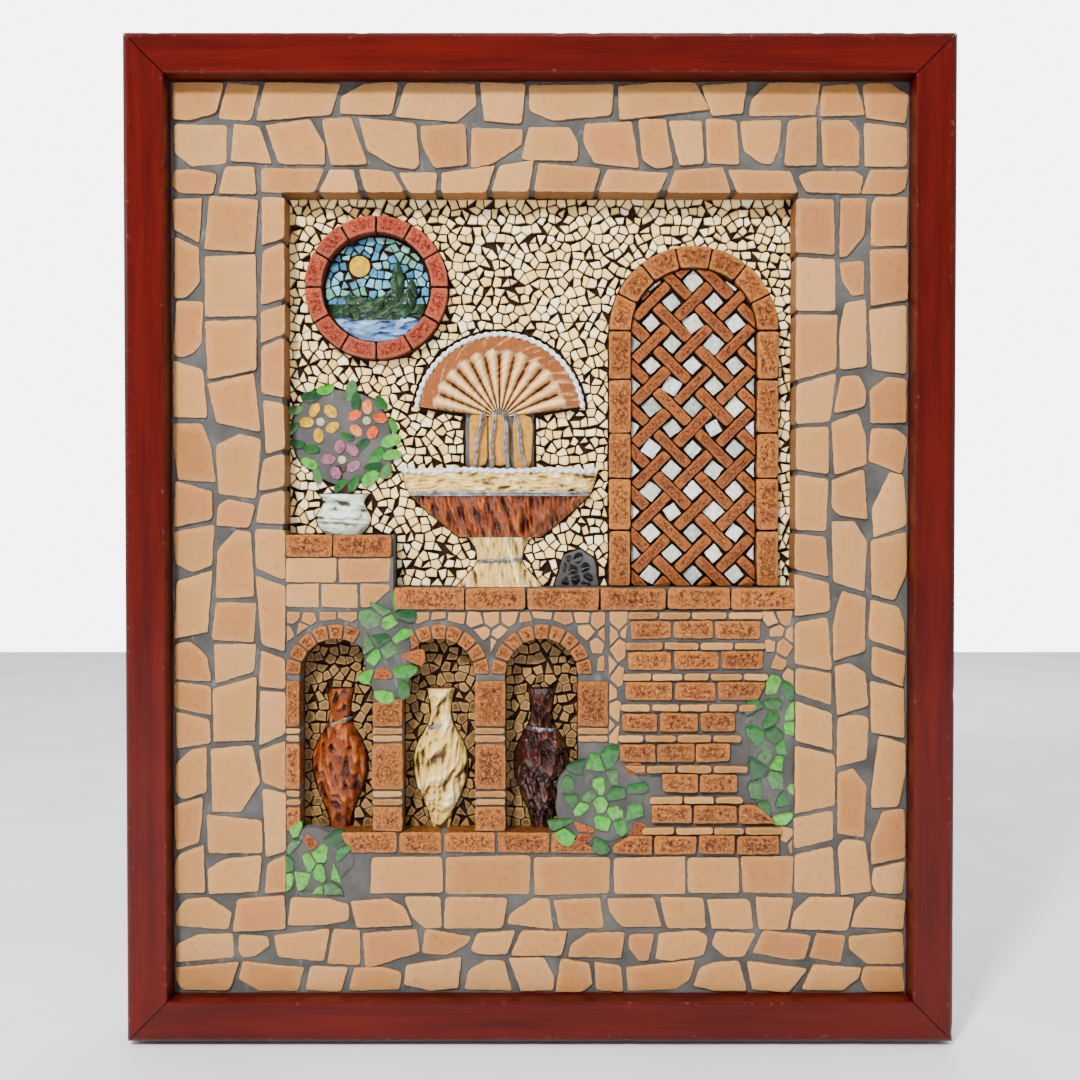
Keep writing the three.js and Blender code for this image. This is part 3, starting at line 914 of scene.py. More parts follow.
def make_rail(side, half_length, to_face):
    """A mitred rail; to_face turns its own (along, in) into x and z."""
    section = rail_section()
    ends = np.array([0.997, 0.9988, 1])
    stations = np.concatenate([-ends[::-1], np.linspace(-0.985, 0.985, 100), ends])
    along = stations[:, None] * (half_length - MITRE_GAP - section[:, 0])
    inward, depth, wear, dark = (np.broadcast_to(column, along.shape).ravel() for column in section.T)
    along = along.ravel()
    seed = zlib.crc32(side.encode()) % 1000
    spots = np.column_stack([along, inward + seed])
    ripple = smooth_noise(spots, (55, 18), seed) + 0.5 * smooth_noise(spots, (14, 9), seed + 1)
    nick = np.clip(smooth_noise(spots, (9, 30), seed + 2) - 0.72, 0, 1) * (wear == OUTER_WEAR)
    faceward = np.clip((depth - 40) / 12, 0, 1)
    x, z = to_face(along, inward + 2.2 * nick)
    points = np.column_stack([x, depth - faceward * (0.14 + 0.09 * ripple) - 1.6 * nick, z])
    # The mitred ends take full painted shade, carried to the lacquer look in the third mark.
    dark = np.where(np.repeat(abs(stations) > 0.998, len(section)), 1.0, dark)

    batch = Gathered(f"frame_{side}")
    batch.add(points, tube_faces(len(stations), len(section)), (0.3, 0.03, 0.02), wear, dark)
    rail = batch.build(LACQUER, "frame_wood", f"frame_{side}_rail", smooth=50)
    grain = np.column_stack([along + 700 * seed, inward, depth]) * MM
    rail.data.attributes.new("grain", "FLOAT_VECTOR", "POINT").data.foreach_set("vector", grain.ravel())


def make_frame():
    make_rail("top", HALF_WIDTH, lambda along, inward: (along, HALF_HEIGHT - inward))
    make_rail("bottom", HALF_WIDTH, lambda along, inward: (-along, inward - HALF_HEIGHT))
    make_rail("right", HALF_HEIGHT, lambda along, inward: (HALF_WIDTH - inward, -along))
    make_rail("left", HALF_HEIGHT, lambda along, inward: (inward - HALF_WIDTH, along))


def finish_cad_node(node, look):
    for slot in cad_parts[node].material_slots:
        slot.material = look


def finish_beds():
    finish_cad_node("backing_board", board_look())
    finish_cad_node("recess_bed", MORTAR)
    finish_cad_node("terrace_bed", GROUT)


# ---- surround ------------------------------------------------------------------------------------

OVERHANG_ROOM = 4.0  # how far cells reach past the edge of the recess, to be cut back there
TILE_PAINTS = pigments("caa478", "d0ac80", "cda97d", "c7a074", "d3b188", "c89f76")


def joint_level(levels, row, along, waver, seed):
    """Level of the joint under a rank, which wavers along the wall except at both its ends."""
    if row in (0, len(levels) - 1):
        return levels[row]
    return levels[row] + waver * float(smooth_noise(np.array([[along, 400.0 * row + seed]]), (80, 50))[0])


def tile_ranks(start, end, low, high, count, size, rng):
    """Four-cornered cells in wavering ranks that run from start to end, cut at a slant."""
    levels = course(low, high, (high - low) / count, rng, 0.2)
    width = (high - low) / count
    seed = rng.integers(1000)
    found = []
    for row in range(count):
        joints = course(start, end, size * rng.uniform(0.85, 1.2), rng, 0.42)
        slants = rng.uniform(-0.19, 0.19, len(joints)) * width
        slants[[0, -1]] = 0
        for k in range(len(joints) - 1):
            near_a, near_b = joints[k] - slants[k], joints[k + 1] - slants[k + 1]
            far_a, far_b = joints[k] + slants[k], joints[k + 1] + slants[k + 1]
            found.append([
                (along, joint_level(levels, row + side, along, 0.22 * width, seed))
                for along, side in ((near_a, 0), (near_b, 0), (far_b, 1), (far_a, 1))
            ])
    return found


def upright(outlines):
    """Outlines of ranks that run across, turned to run up."""
    return [[(across, along) for along, across in reversed(outline)] for outline in outlines]


def nip_corner(outline, rng):
    """The outline with one corner cut off."""
    k = rng.integers(len(outline))
    corner, before = np.array(outline[k]), np.array(outline[k - 1])
    after = np.array(outline[(k + 1) % len(outline)])
    first = corner + (before - corner) * rng.uniform(0.15, 0.55)
    second = corner + (after - corner) * rng.uniform(0.15, 0.55)
    return outline[:k] + [tuple(first), tuple(second)] + outline[k + 1 :]


def turned(outline, angle):
    points = np.asarray(outline)
    centre = points.mean(0)
    return (points - centre) @ rotation(angle) + centre


def recess_side(cell):
    """The side of the recess that a cell of the surround reaches, as a point and a normal, or nothing."""
    points = np.array(cell)
    x, z = points.mean(0)
    beside = RECESS_BOTTOM - 5 < z < RECESS_TOP
    if beside and x < 0 and points[:, 0].max() > RECESS_LEFT:
        return (RECESS_LEFT, z), (1.0, 0.0)
    if beside and x > 0 and points[:, 0].min() < RECESS_RIGHT:
        return (RECESS_RIGHT, z), (-1.0, 0.0)
    if z > RECESS_TOP and points[:, 1].min() < RECESS_TOP and RECESS_LEFT < x < RECESS_RIGHT:
        return (x, RECESS_TOP), (0.0, -1.0)
    return None


def surround_cells(rng):
    """Cells of the whole surround: ranks across it above and below the recess, columns beside it."""
    top = RECESS_TOP - OVERHANG_ROOM
    cells_found = tile_ranks(FIELD_LEFT, FIELD_RIGHT, top, FIELD_TOP, 3, 41, rng)
    cells_found += tile_ranks(FIELD_LEFT, FIELD_RIGHT, FIELD_BOTTOM, RECESS_BOTTOM, 3, 43, rng)
    inner = (RECESS_LEFT + OVERHANG_ROOM, RECESS_RIGHT - OVERHANG_ROOM)
    for left, right in ((FIELD_LEFT, inner[0]), (inner[1], FIELD_RIGHT)):
        cells_found += upright(tile_ranks(RECESS_BOTTOM, top + 1, left, right, 3, 41, rng))
    return cells_found


def cut_tile(cell, side, field, rng):
    """A cell of the surround nipped, parted from its neighbours, and cut where it overhangs the recess."""
    for chance in (0.55, 0.2):
        if side is None and rng.random() < chance:
            cell = nip_corner(cell, rng)
    cell = inset(cell, 3.4, 0.85, rng)
    if side is None and len(cell) > 2 and rng.random() < 0.7:
        cell = turned(cell, rng.normal(0, 0.055))
    if side and len(cell) > 2:
        (x, z), (across, up) = side
        overhang, slew = rng.uniform(0.2, 1.4), rng.normal(0, 0.012)
        edge = (x + across * overhang, z + up * overhang)
        cell = clip(cell, edge, (across + slew * up, up + slew * across))
    return clip_to(cell, field)


def make_surround():
    batch = Gathered("surround_tiles")
    rng = batch.rng
    field = rectangle(FIELD_LEFT + 1, FIELD_RIGHT - 1, FIELD_BOTTOM + 1, FIELD_TOP - 1)
    face = FRONT_LAYER + TILE_STAND
    for cell in surround_cells(rng):
        side = recess_side(cell)
        cell = cut_tile(cell, side, field, rng)
        if area(cell) < 110:
            continue
        outline = soften(cell, 2.6, 3.4, 0.32, rng)
        front = face + rng.uniform(-0.7, 0.7)
        back = BED + 0.5 if side else face - TILE_THICKNESS
        paint = one_of(TILE_PAINTS, rng, 0.93, 1.05)
        shard(batch, outline, back, front, paint, 0.7, 0.25, 0.2, rings=2, tilt=0.008)
    batch.build(TILE, "cream_tile")


def make_surround_grout():
    """The grout of the surround as four strips that meet, trowelled a little unevenly."""
    batch = Gathered("surround_grout")
    lap, setback = 0.6, 1.6  # over the edge of the terrace, and behind the tiles' sides above it

    def trowelled(x, z):
        spots = np.column_stack([x, z])
        level = 0.35 * smooth_noise(spots, 11, 3) + 0.22 * smooth_noise(spots, 4.2, 4)
        return x, FRONT_LAYER + level, z, GREY, np.zeros(len(x))

    def ragged(along, terrace_top, seed):
        """How far the strip reaches into the recess."""
        lip = np.where(along < terrace_top, lap, -setback)
        return lip + 0.3 * smooth_noise(np.column_stack([along, along * 0 + seed]), 6)

    def between(low, high, share):
        return low + (high - low) * share

    def top(s, t):
        x = between(FIELD_LEFT, FIELD_RIGHT, s)
        inside = (x > RECESS_LEFT + 1) & (x < RECESS_RIGHT - 1)
        return trowelled(x, between(RECESS_TOP + setback * inside, FIELD_TOP, t))

    def bottom(s, t):
        x = between(FIELD_LEFT, FIELD_RIGHT, s)
        inside = (x > RECESS_LEFT) & (x < RECESS_RIGHT)
        return trowelled(x, between(FIELD_BOTTOM, RECESS_BOTTOM + lap * inside, t))

    def left(s, t):
        z = between(RECESS_BOTTOM, RECESS_TOP, t)
        return trowelled(between(FIELD_LEFT, RECESS_LEFT + ragged(z, SILL_TOP, 2), s), z)

    def right(s, t):
        z = between(RECESS_BOTTOM, RECESS_TOP, t)
        return trowelled(between(RECESS_RIGHT - ragged(z, COPING_TOP, 3), FIELD_RIGHT, s), z)

    for front, columns, rows in ((top, 240, 36), (bottom, 240, 32), (left, 36, 230), (right, 36, 230)):
        relief(batch, columns, rows, BOARD + MITRE_GAP, front)
    batch.build(GROUT, "grey_grout", *nodes_like("surround_bed"))


# ---- what the fine chips go round ----------------------------------------------------------------


def middle_x(node):
    low, high = place(node)
    return (low[0] + high[0]) / 2


FOUNTAIN_X = middle_x("fountain_basin")
SHELL_LOW, SHELL_HIGH = place("fountain_shell")
BASIN_TOP = place("fountain_basin")[1][2]
SHELL_HINGE = BASIN_TOP + 44
SHELL_RADIUS = SHELL_HIGH[2] - SHELL_HINGE
TREE_X = middle_x("tree_pot")
CROWN_Z = place("tree_trunk")[1][2] + 24
CROWN_RADIUS = 41.0
PETALS = 5


def middle_of(nodes):
    boxes = [place(node) for node in nodes]
    low = np.min([box[0] for box in boxes], axis=0)
    high = np.max([box[1] for box in boxes], axis=0)
    return (low + high) / 2, low, high


WINDOW_MIDDLE, _, WINDOW_HIGH = middle_of(nodes_like("round_window_brick"))
WINDOW_X, WINDOW_Z = WINDOW_MIDDLE[0], WINDOW_MIDDLE[2]
WINDOW_OUTER = WINDOW_HIGH[0] - WINDOW_X
GATE_MIDDLE, GATE_LOW, GATE_HIGH = middle_of(nodes_like("gate_jamb"))
GATE_X = GATE_MIDDLE[0]
GATE_HALF = GATE_HIGH[0] - GATE_X
GATE_SPRING = GATE_HIGH[2] + 0.6
GATE_JAMB = place("gate_jamb_left_1")[1][0] - GATE_LOW[0]
JARS = ["arcade_jar_left", "arcade_jar_middle", "arcade_jar_right"]
JAR_CENTRES = [middle_x(jar) for jar in JARS]
BAY = JAR_CENTRES[1] - JAR_CENTRES[0]
PIER = 24.0
ARCH_HALF = (BAY - PIER) / 2
ARCH_FLOOR = place(JARS[0])[0][2] - 0.3
ARCH_SPRING = ARCH_FLOOR + 132
VOUSSOIR = 12.0
REVEAL = 0.8  # how far the arcade's blocks stand past the bed's edge into each opening
COPING_TOP = COPING_HIGH[2]
COPING_BOTTOM = COPING_LOW[2]
SILL_TOP = SILL_HIGH[2]


def silhouette(node):
    """Outline of a turned relief."""
    heights, lefts, rights = turned_outline(node)
    return np.vstack([np.column_stack([rights, heights]), np.column_stack([lefts, heights])[::-1]])


def blob(x, z, half_width, half_height, name, waver=0.12):
    """A lumpy round outline."""
    seed = zlib.crc32(name.encode()) % 997
    angles = np.linspace(0, TAU, 64, endpoint=False)
    ring = np.column_stack([np.cos(angles), np.sin(angles)])
    swell = 1 + waver * (smooth_noise(ring + seed, 0.9) + 0.5 * smooth_noise(ring + seed, 0.4))
    return ring * swell[:, None] * [half_width, half_height] + [x, z]


CROWN = blob(TREE_X, CROWN_Z, CROWN_RADIUS, CROWN_RADIUS, "crown", 0.1)
PEBBLE_PATCH = np.array([(12, COPING_TOP), (50, COPING_TOP), (46, -16), (34, -8), (20, -13)], float)
CLUSTERS = {
    "lower": blob(50, -218, 40, 36, "lower"),
    "right": blob(196, -176, 24, 58, "right"),
    "corner": blob(-188, -266, 34, 26, "corner"),
    "hanging": blob(-126, -92, 20, 44, "hanging"),
}


def wall_obstacles():
    terrace = np.array([
        (RECESS_LEFT, RECESS_BOTTOM), (RECESS_RIGHT, RECESS_BOTTOM), (RECESS_RIGHT, COPING_TOP),
        (PLANTER_RIGHT, COPING_TOP), (PLANTER_RIGHT, SILL_TOP), (RECESS_LEFT, SILL_TOP),
    ])
    shell = arc(FOUNTAIN_X, SHELL_HINGE, SHELL_RADIUS + 3.5, math.radians(8), math.radians(172), 30)
    plaque = rectangle(FOUNTAIN_X - 30, FOUNTAIN_X + 30, BASIN_TOP - 2, SHELL_HINGE + 12)
    return [
        terrace,
        disc_outline(WINDOW_X, WINDOW_Z, WINDOW_OUTER, 40),
        arched(GATE_X, GATE_HALF, COPING_TOP - 5, GATE_SPRING, 24),
        np.vstack([[(FOUNTAIN_X, SHELL_HINGE - 4)], shell]),
        plaque,
        silhouette("fountain_basin"),
        silhouette("fountain_pedestal"),
        CROWN,
        silhouette("tree_pot"),
        silhouette("tree_trunk"),
        PEBBLE_PATCH,
    ]


CHIP_PAINTS = pigments("fff1ca", "feebc2", "fae4b6", "fff7de", "f4deae", "fff0c6", "ecd6a6")
# Darker copies of the chip paints: painted shade for the chips deep inside the arches.
SHADED_PAINTS = pigments("988462", "8a7656", "a6916c", "7c6a4c", "94805c")


def lay_chips(batch, boundary, obstacles, spacing, paints, smallest=6.0):
    """Fine chips nipped to three, four or five corners, laid over a convex area round its obstacles."""
    rng = batch.rng
    for cell in pieces_over(boundary, obstacles, spacing, 0.3, spacing * 1.35, 0.3, 0.4, smallest, rng):
        cell = inset(fewer_corners(cell, rng.choice([3, 4, 5], p=CORNER_SHARES)), CHIP_JOINT, 0.8, rng)
        if area(cell) < smallest:
            continue
        outline = soften(cell, 0.5, 3.2, 0.12, rng)
        paint = one_of(paints, rng)
        level = BED + CHIP_STAND + rng.uniform(-0.5, 0.5)
        shard(batch, outline, BED + 0.2, level, paint, arris=0.3, rough=0.05, tilt=0.03)


def make_wall_chips():
    batch = Gathered("wall_chips")
    wall = rectangle(RECESS_LEFT, RECESS_RIGHT, COPING_TOP, RECESS_TOP)
    lay_chips(batch, wall, wall_obstacles(), WALL_CHIP_SPACING, CHIP_PAINTS)
    batch.build(CHIP, "cream_chip")


def make_arcade_chips():
    batch = Gathered("arcade_chips")
    for jar, centre in zip(JARS, JAR_CENTRES):
        bay = arched(centre, ARCH_HALF, ARCH_FLOOR, ARCH_SPRING)
        lay_chips(batch, bay, [silhouette(jar)], ARCADE_CHIP_SPACING, SHADED_PAINTS)
    batch.build(CHIP, "cream_chip")


# ---- masonry of the terrace ----------------------------------------------------------------------

CLAY_PAINTS = pigments("996232", "a16c3c", "8d582a", "9b6436", "a77440")
STRIP_PAINTS = pigments("c8a676", "d0b080", "be986a", "b68e62")
BRICK_PAINTS = pigments("a84a2c", "9c4024", "b05434")
PEARL_PAINTS = pigments("fbf8ee", "eaeee4", "ffffff", "d6dcd4")
RUST_PAINTS = pigments("985e38", "8a5234", "a46c40", "92583a")
BLOCK_BACK = FRONT_LAYER - 4
BLOCK_JOINT, STRIP_JOINT = 1.8, 1.4
STRIP = 5  # height of a thin strip in a pier
PIER_COURSES = (20, STRIP, STRIP, 38, STRIP, STRIP, 38)
STRIP_SHAPE = {"paints": STRIP_PAINTS, "arris": 0.7, "crown": 0.3}
VOUSSOIRS = 9  # blocks round each arch
STEPS_LEFT = JAR_CENTRES[-1] + BAY / 2 + PIER / 2
STEPS_FOOT = ARCH_FLOOR - 18
STEPS = 8


def clay_block(
    batch, outline, back, front, paints=CLAY_PAINTS, radius=2.2, arris=1.1, crown=0.5, uneven=0.0,
):
    rng = batch.rng
    if uneven:
        front += rng.uniform(-uneven, uneven)
    outline = soften(outline, radius, 3.6, 0.28, rng)
    shard(
        batch, outline, back, front - crown, one_of(paints, rng),
        arris=arris, crown=crown, rough=0.18, rings=2, tilt=0.006, flare=-0.3,
    )


def block_nodes(batch, nodes, skew):
    """A hand-cut block in the place of each straight CAD block."""
    for node in nodes:
        low, high = place(node)
        clay_block(batch, hand_cut(low[0], high[0], low[2], high[2], skew, batch.rng), low[1], high[1])


def ring_nodes(batch, nodes, x, z, **shape):
    """A block in the place of each CAD block of a ring round a centre."""
    for node in nodes:
        low, high = place(node)
        offsets = node_points(node)[:, [0, 2]] - [x, z]
        radii = np.hypot(*offsets.T)
        angles = np.arctan2(offsets[:, 1], offsets[:, 0]) % TAU
        outline = ring_block(x, z, radii.min(), radii.max(), angles.min(), angles.max())
        clay_block(batch, outline, low[1], high[1], **shape)


def hand_cut(left, right, bottom, top, skew, rng):
    """A rectangle with its corners a little out of true."""
    return rectangle(left, right, bottom, top) + rng.uniform(-skew, skew, (4, 2))


def course(left, right, size, rng, spread=0.14):
    """Ends of the hand-cut pieces that fill a course."""
    count = max(1, round((right - left) / size))
    lengths = 1 + spread * rng.uniform(-1, 1, count)
    return left + (right - left) * np.concatenate([[0], np.cumsum(lengths)]) / lengths.sum()


def course_pieces(left, right, size, bottom, top, gap, skew, rng, spread=0.14):
    """Outlines of the hand-cut pieces that fill a course, with half a joint at each end of each."""
    ends = course(left, right, size, rng, spread)
    for start, end in zip(ends[:-1], ends[1:]):
        yield hand_cut(start + gap, end - gap, bottom, top, skew, rng)


def lay_clear(batch, outline, back, front, **shape):
    """A block cut away by the foliage clusters, or nothing if most of it would go."""
    kept = cut_around([tuple(p) for p in outline], list(CLUSTERS.values()), 0.5, 0.5 * area(outline))
    if kept:
        clay_block(batch, kept, back, front, **shape)


def make_copings():
    batch = Gathered("terrace_coping_blocks")
    nodes = nodes_like("coping_block") + nodes_like("planter_sill_block")
    block_nodes(batch, nodes, 0.5)
    batch.build(TERRACOTTA, "mottled_terracotta", *nodes)


def make_piers(clay, strips):
    """Each pier of the arcade: a low foot, then pairs of thin strips between tall blocks."""
    rng = clay.rng
    front = FRONT_LAYER + BLOCK_STAND
    for i in range(len(JARS) + 1):
        middle = JAR_CENTRES[0] + BAY * (i - 0.5)
        left, right = max(middle - PIER / 2 - REVEAL, RECESS_LEFT + 1), middle + PIER / 2 + REVEAL
        z = ARCH_FLOOR + BLOCK_JOINT
        for height in PIER_COURSES:
            pinch = rng.uniform(0, 0.5)
            outline = hand_cut(left + pinch, right - pinch, z, z + height, 0.4, rng)
            if height == STRIP:
                sunk = rng.uniform(-0.9, -0.3)
                lay_clear(strips, outline, BED + 0.5, front + sunk, radius=2.6, **STRIP_SHAPE)
            else:
                lay_clear(clay, outline, BED + 0.5, front)
            z += height + (STRIP_JOINT if height == STRIP else BLOCK_JOINT)


def make_arcade():
    clay, strips = Gathered("arcade_blocks"), Gathered("arcade_strips")
    front = FRONT_LAYER + BLOCK_STAND
    make_piers(clay, strips)
    inner = ARCH_HALF - REVEAL
    for centre in JAR_CENTRES:
        for k in range(VOUSSOIRS):
            start, end = math.pi * k / VOUSSOIRS + 0.018, math.pi * (k + 1) / VOUSSOIRS - 0.018
            block = ring_block(centre, ARCH_SPRING, inner, inner + VOUSSOIR, start, end)
            lay_clear(clay, block, BED + 0.5, front)
    bottom, top = ARCH_FLOOR - 16.4, ARCH_FLOOR + REVEAL
    for outline in course_pieces(RECESS_LEFT + 0.5, STEPS_LEFT, 42, bottom, top, 1, 0.4, clay.rng):
        lay_clear(clay, outline, BED + 0.5, front)
    clay.build(TERRACOTTA, "mottled_terracotta")
    strips.build(TILE, "cream_tile")


def stair_edges(z):
    """Left and right edge of the flight at a height."""
    share = (z - STEPS_FOOT) / (COPING_BOTTOM - STEPS_FOOT)
    half = 71 - 17 * share
    return GATE_X - half, GATE_X + half


def make_steps():
    """Each step is a riser of blocks under a nosing of thin strips, set back from the step below."""
    clay, strips = Gathered("step_risers"), Gathered("step_nosings")
    rise = (COPING_BOTTOM - STEPS_FOOT) / STEPS
    for step in range(STEPS):
        z = STEPS_FOOT + step * rise
        left, right = stair_edges(z + rise / 2)
        front = FRONT_LAYER + 5.0 - 2.6 * step / (STEPS - 1)
        for outline in course_pieces(left, right, 34, z + 1.2, z + 16.2, 0.9, 0.6, clay.rng):
            lay_clear(clay, outline, BLOCK_BACK, front)
        for outline in course_pieces(left - 1.5, right + 1.5, 27, z + 17.8, z + 23.6, 0.7, 0.4, clay.rng):
            lay_clear(strips, outline, BLOCK_BACK, front + 0.8, radius=2.4, **STRIP_SHAPE)
    clay.build(TERRACOTTA, "mottled_terracotta")
    strips.build(TILE, "cream_tile")


def rough_paving():
    """The convex areas that small irregular tiles fill: over the arches and on both sides of the steps."""
    yield rectangle(RECESS_LEFT + 0.5, STEPS_LEFT - 1, ARCH_SPRING + 2, COPING_BOTTOM - 0.6)
    for side, wall in ((0, STEPS_LEFT), (1, RECESS_RIGHT - 0.5)):
        foot, head = stair_edges(STEPS_FOOT)[side], stair_edges(COPING_BOTTOM)[side]
        corners = [(wall, STEPS_FOOT), (foot, STEPS_FOOT), (head, COPING_BOTTOM), (wall, COPING_BOTTOM)]
        yield np.array(corners[::-1] if side else corners)


def make_terrace_tiles():
    """Cream tiles of the terrace: two planter rows, the paving row and the rough paving."""
    batch = Gathered("terrace_tiles")
    rng = batch.rng

    def lay(outline, radius):
        shape = {"paints": TILE_PAINTS, "radius": radius, "arris": 0.5, "crown": 0.2, "uneven": 0.4}
        lay_clear(batch, outline, BLOCK_BACK, FRONT_LAYER + 1.4, **shape)

    rows = np.linspace(COPING_BOTTOM + 1, SILL_LOW[2] - 1, 3)
    for size, bottom, top in zip((30, 44), rows[:-1] + 0.8, rows[1:] - 0.8):
        ends = (RECESS_LEFT + 0.6, PLANTER_RIGHT - 1.2)
        for outline in course_pieces(*ends, size, bottom, top, 1, 0.7, rng):
            lay(outline, 1.8)
    ends, bottom, top = (RECESS_LEFT + 0.5, RECESS_RIGHT - 0.5), RECESS_BOTTOM + 1, STEPS_FOOT - 1.6
    for outline in course_pieces(*ends, 58, bottom, top, 1.4, 1.3, rng, 0.25):
        lay(outline, 2.6)

    rings = [disc_outline(x, ARCH_SPRING, ARCH_HALF + VOUSSOIR + 1.6, 36) for x in JAR_CENTRES]
    reach = ARCH_HALF + VOUSSOIR
    openings = [rectangle(x - reach, x + reach, ARCH_FLOOR, ARCH_SPRING) for x in JAR_CENTRES]
    for boundary in rough_paving():
        for cell in pieces_over(boundary, rings + openings, 14.5, 0.25, 20, 0.4, 0.6, 30, rng):
            cell = inset(fewer_corners(cell, 5), 2.0, 0.6, rng)
            if area(cell) > 30:
                lay(cell, 1.0)
    batch.build(TILE, "cream_tile")


# ---- foliage -------------------------------------------------------------------------------------

LEAF_PAINTS = pigments("72c252", "62a856", "4f8a50", "447850", "749a6c", "4c9050", "84c862")
RED_PAINTS = pigments("964c40", "8a4038", "ba7a4c", "ae6440")
TRIES = 3000  # of places for a leaf or pebble
FRUIT_PAINTS = {
    "yellow": pigment("ecc83c"), "orange": pigment("ee8230"), "peach": pigment("f2a870"),
    "mauve": pigment("b68a9a"), "cream": pigment("d8d2b4"),
}


def leaf_outline(x, z, length, width, angle, belly):
    """A nipped leaf chip: one bowed side, one nearly straight, and blunt points."""
    t = np.linspace(0, math.pi, 8)
    bowed = np.column_stack([np.cos(t) * length / 2, np.sin(t) ** 0.8 * width * belly])
    straight = np.column_stack([np.linspace(-length / 2, length / 2, 5)[1:-1], [-width * (1 - belly)] * 3])
    return np.vstack([bowed, straight]) @ rotation(angle) + [x, z]


def strewn(outline, spacing, rng):
    """Points at least `spacing` apart inside an outline."""
    low, high = outline.min(0), outline.max(0)
    kept = np.empty((0, 2))
    for _ in range(TRIES):
        point = low + (high - low) * rng.random(2)
        if edge_distance(outline, point)[0] > 0.5:
            continue
        if len(kept) and np.hypot(*(kept - point).T).min() < spacing:
            continue
        kept = np.vstack([kept, point])
    return kept


def grout_patch(batch, outline, back, front, **shape):
    shard(batch, outline, back, front, GREY, **{"arris": 1.0, "rough": 0.5, "rings": 5, **shape})


def sprinkle_leaves(leaves, reds, outline):
    """Leaf chips strewn over a cluster, with a red piece here and there."""
    rng = leaves.rng
    room = rectangle(RECESS_LEFT + 1, RECESS_RIGHT - 1, RECESS_BOTTOM + 1, RECESS_TOP - 1)
    points = strewn(outline, 12.6, rng)
    for point, cell in zip(points, cells(points, 18)):
        red = rng.random() < 0.13
        size = rng.uniform(17, 25)
        angle = rng.uniform(0, TAU)
        leaf = leaf_outline(*point, size, size * rng.uniform(0.5, 0.68), angle, rng.uniform(0.62, 1.0))
        leaf = clip_to(clip_to(leaf, cell, 0.6), room)
        if area(leaf) < 28:
            continue
        paint = one_of(RED_PAINTS if red else LEAF_PAINTS, rng, 0.85, 1.1)
        front = FRONT_LAYER + 1.2
        sunk = rng.uniform(-0.9, 0.5) - (0.5 if red else 0)
        outline = soften(fewer_corners(leaf, 7), 0.9, 3.0, 0.15, rng)
        shard(reds if red else leaves, outline, front - 3, front + 1.1 + sunk, paint, crown=0.25, tilt=0.04)


def make_foliage():
    grout, leaves, reds = (Gathered(f"foliage_{name}") for name in ("grout", "leaves", "red_pieces"))
    room = rectangle(RECESS_LEFT + 0.4, RECESS_RIGHT - 0.4, RECESS_BOTTOM + 0.4, RECESS_TOP - 0.4)
    for outline in CLUSTERS.values():
        shape = {"arris": 1.6, "crown": 0.4, "rough": 0.55, "rings": 7}
        grout_patch(grout, clip_to(outline, room), BLOCK_BACK - 6, FRONT_LAYER + 0.9, **shape)
        sprinkle_leaves(leaves, reds, outline)
    grout.build(GROUT, "grey_grout")
    leaves.build(LEAF, "leaf_chip")
    reds.build(RUST, "rust_strips")


# ---- gate ----------------------------------------------------------------------------------------


def make_gate():
    batch = Gathered("gate_blocks")
    jambs, arch_blocks = nodes_like("gate_jamb"), nodes_like("gate_arch_block")
    block_nodes(batch, jambs, 0.4)
    ring_nodes(batch, arch_blocks, GATE_X, GATE_SPRING)
    batch.build(TERRACOTTA, "mottled_terracotta", *jambs, *arch_blocks)


def make_trellis():
    """Short clay strips laid in a diagonal basket weave, with pearl pieces in the diamonds."""
    strips, pearls = Gathered("gate_trellis_strips"), Gathered("gate_pearl_pieces")
    rng = strips.rng
    low, high = place("gate_trellis")
    inner = GATE_HALF - GATE_JAMB - 0.3
    opening = arched(GATE_X, inner, low[2], GATE_SPRING, 24)
    middle = np.array([GATE_X, (low[2] + GATE_SPRING + inner) / 2])
    pitch, width = 25.0, 9.0
    diagonals = np.array([[1, 1], [-1, 1]]) / math.sqrt(2)

    def lay_strip(centre, along):
        across = np.array([-along[1], along[0]])
        half = np.array([pitch - width / 2 - 0.7, width / 2]) * rng.uniform([0.97, 0.9], [1.0, 1.06])
        outline = rectangle(-half[0], half[0], -half[1], half[1]) @ [along, across] + centre
        outline = clip_to(outline, opening, 0.4)
        if area(outline) > 25:
            front = high[1] - 0.4 + rng.uniform(-1.2, 0.4)
            clay_block(strips, outline, low[1], front, RUST_PAINTS, 2.0, 1.0, 0.9)

    def lay_pearl(centre):
        turn = math.pi / 4 + rng.normal(0, 0.09)
        size = rng.uniform(5.6, 6.9) * math.sqrt(2)
        angles = turn + math.pi / 4 + np.arange(4) * math.pi / 2
        diamond = arc_points(*centre, size * rng.uniform(0.9, 1.05, 4), angles)
        diamond = clip_to(diamond, opening, 0.8)
        if area(diamond) > 20:
            paint = PEARL_PAINTS[rng.integers(len(PEARL_PAINTS))]
            outline = soften(diamond, 0.9, 2.6, 0.3, rng)
            front = BED + CHIP_STAND + rng.uniform(-0.6, 0.6)
            shard(pearls, outline, BED + 0.2, front, paint, crown=0.4, rough=0.5, rings=3, tilt=0.06)

    reach = 8
    for i in range(-reach, reach + 1):
        for j in range(-reach, reach + 1):
            centre = middle + pitch * (i * diagonals[0] + j * diagonals[1])
            lay_strip(centre, diagonals[(i + j) % 2])
            lay_pearl(centre + pitch / 2 * (diagonals[0] + diagonals[1]))
    strips.build(RUST, "rust_strips", "gate_trellis")
    pearls.build(PEARL_PIECE, "pearl_piece")


# ---- round window --------------------------------------------------------------------------------

HILLS_BACK = place("round_window_hills")[0][1]
VIEW_RADIUS = place("round_window_hills")[1][0] - WINDOW_X + 1.2
HORIZON = WINDOW_Z - 0.3 * VIEW_RADIUS
SHORE = WINDOW_Z - 0.58 * VIEW_RADIUS
SKY_PAINTS = pigments("8fc3d6", "a6d2dc", "79b2cc", "b6dcdf", "6ba3bd", "93bfae")


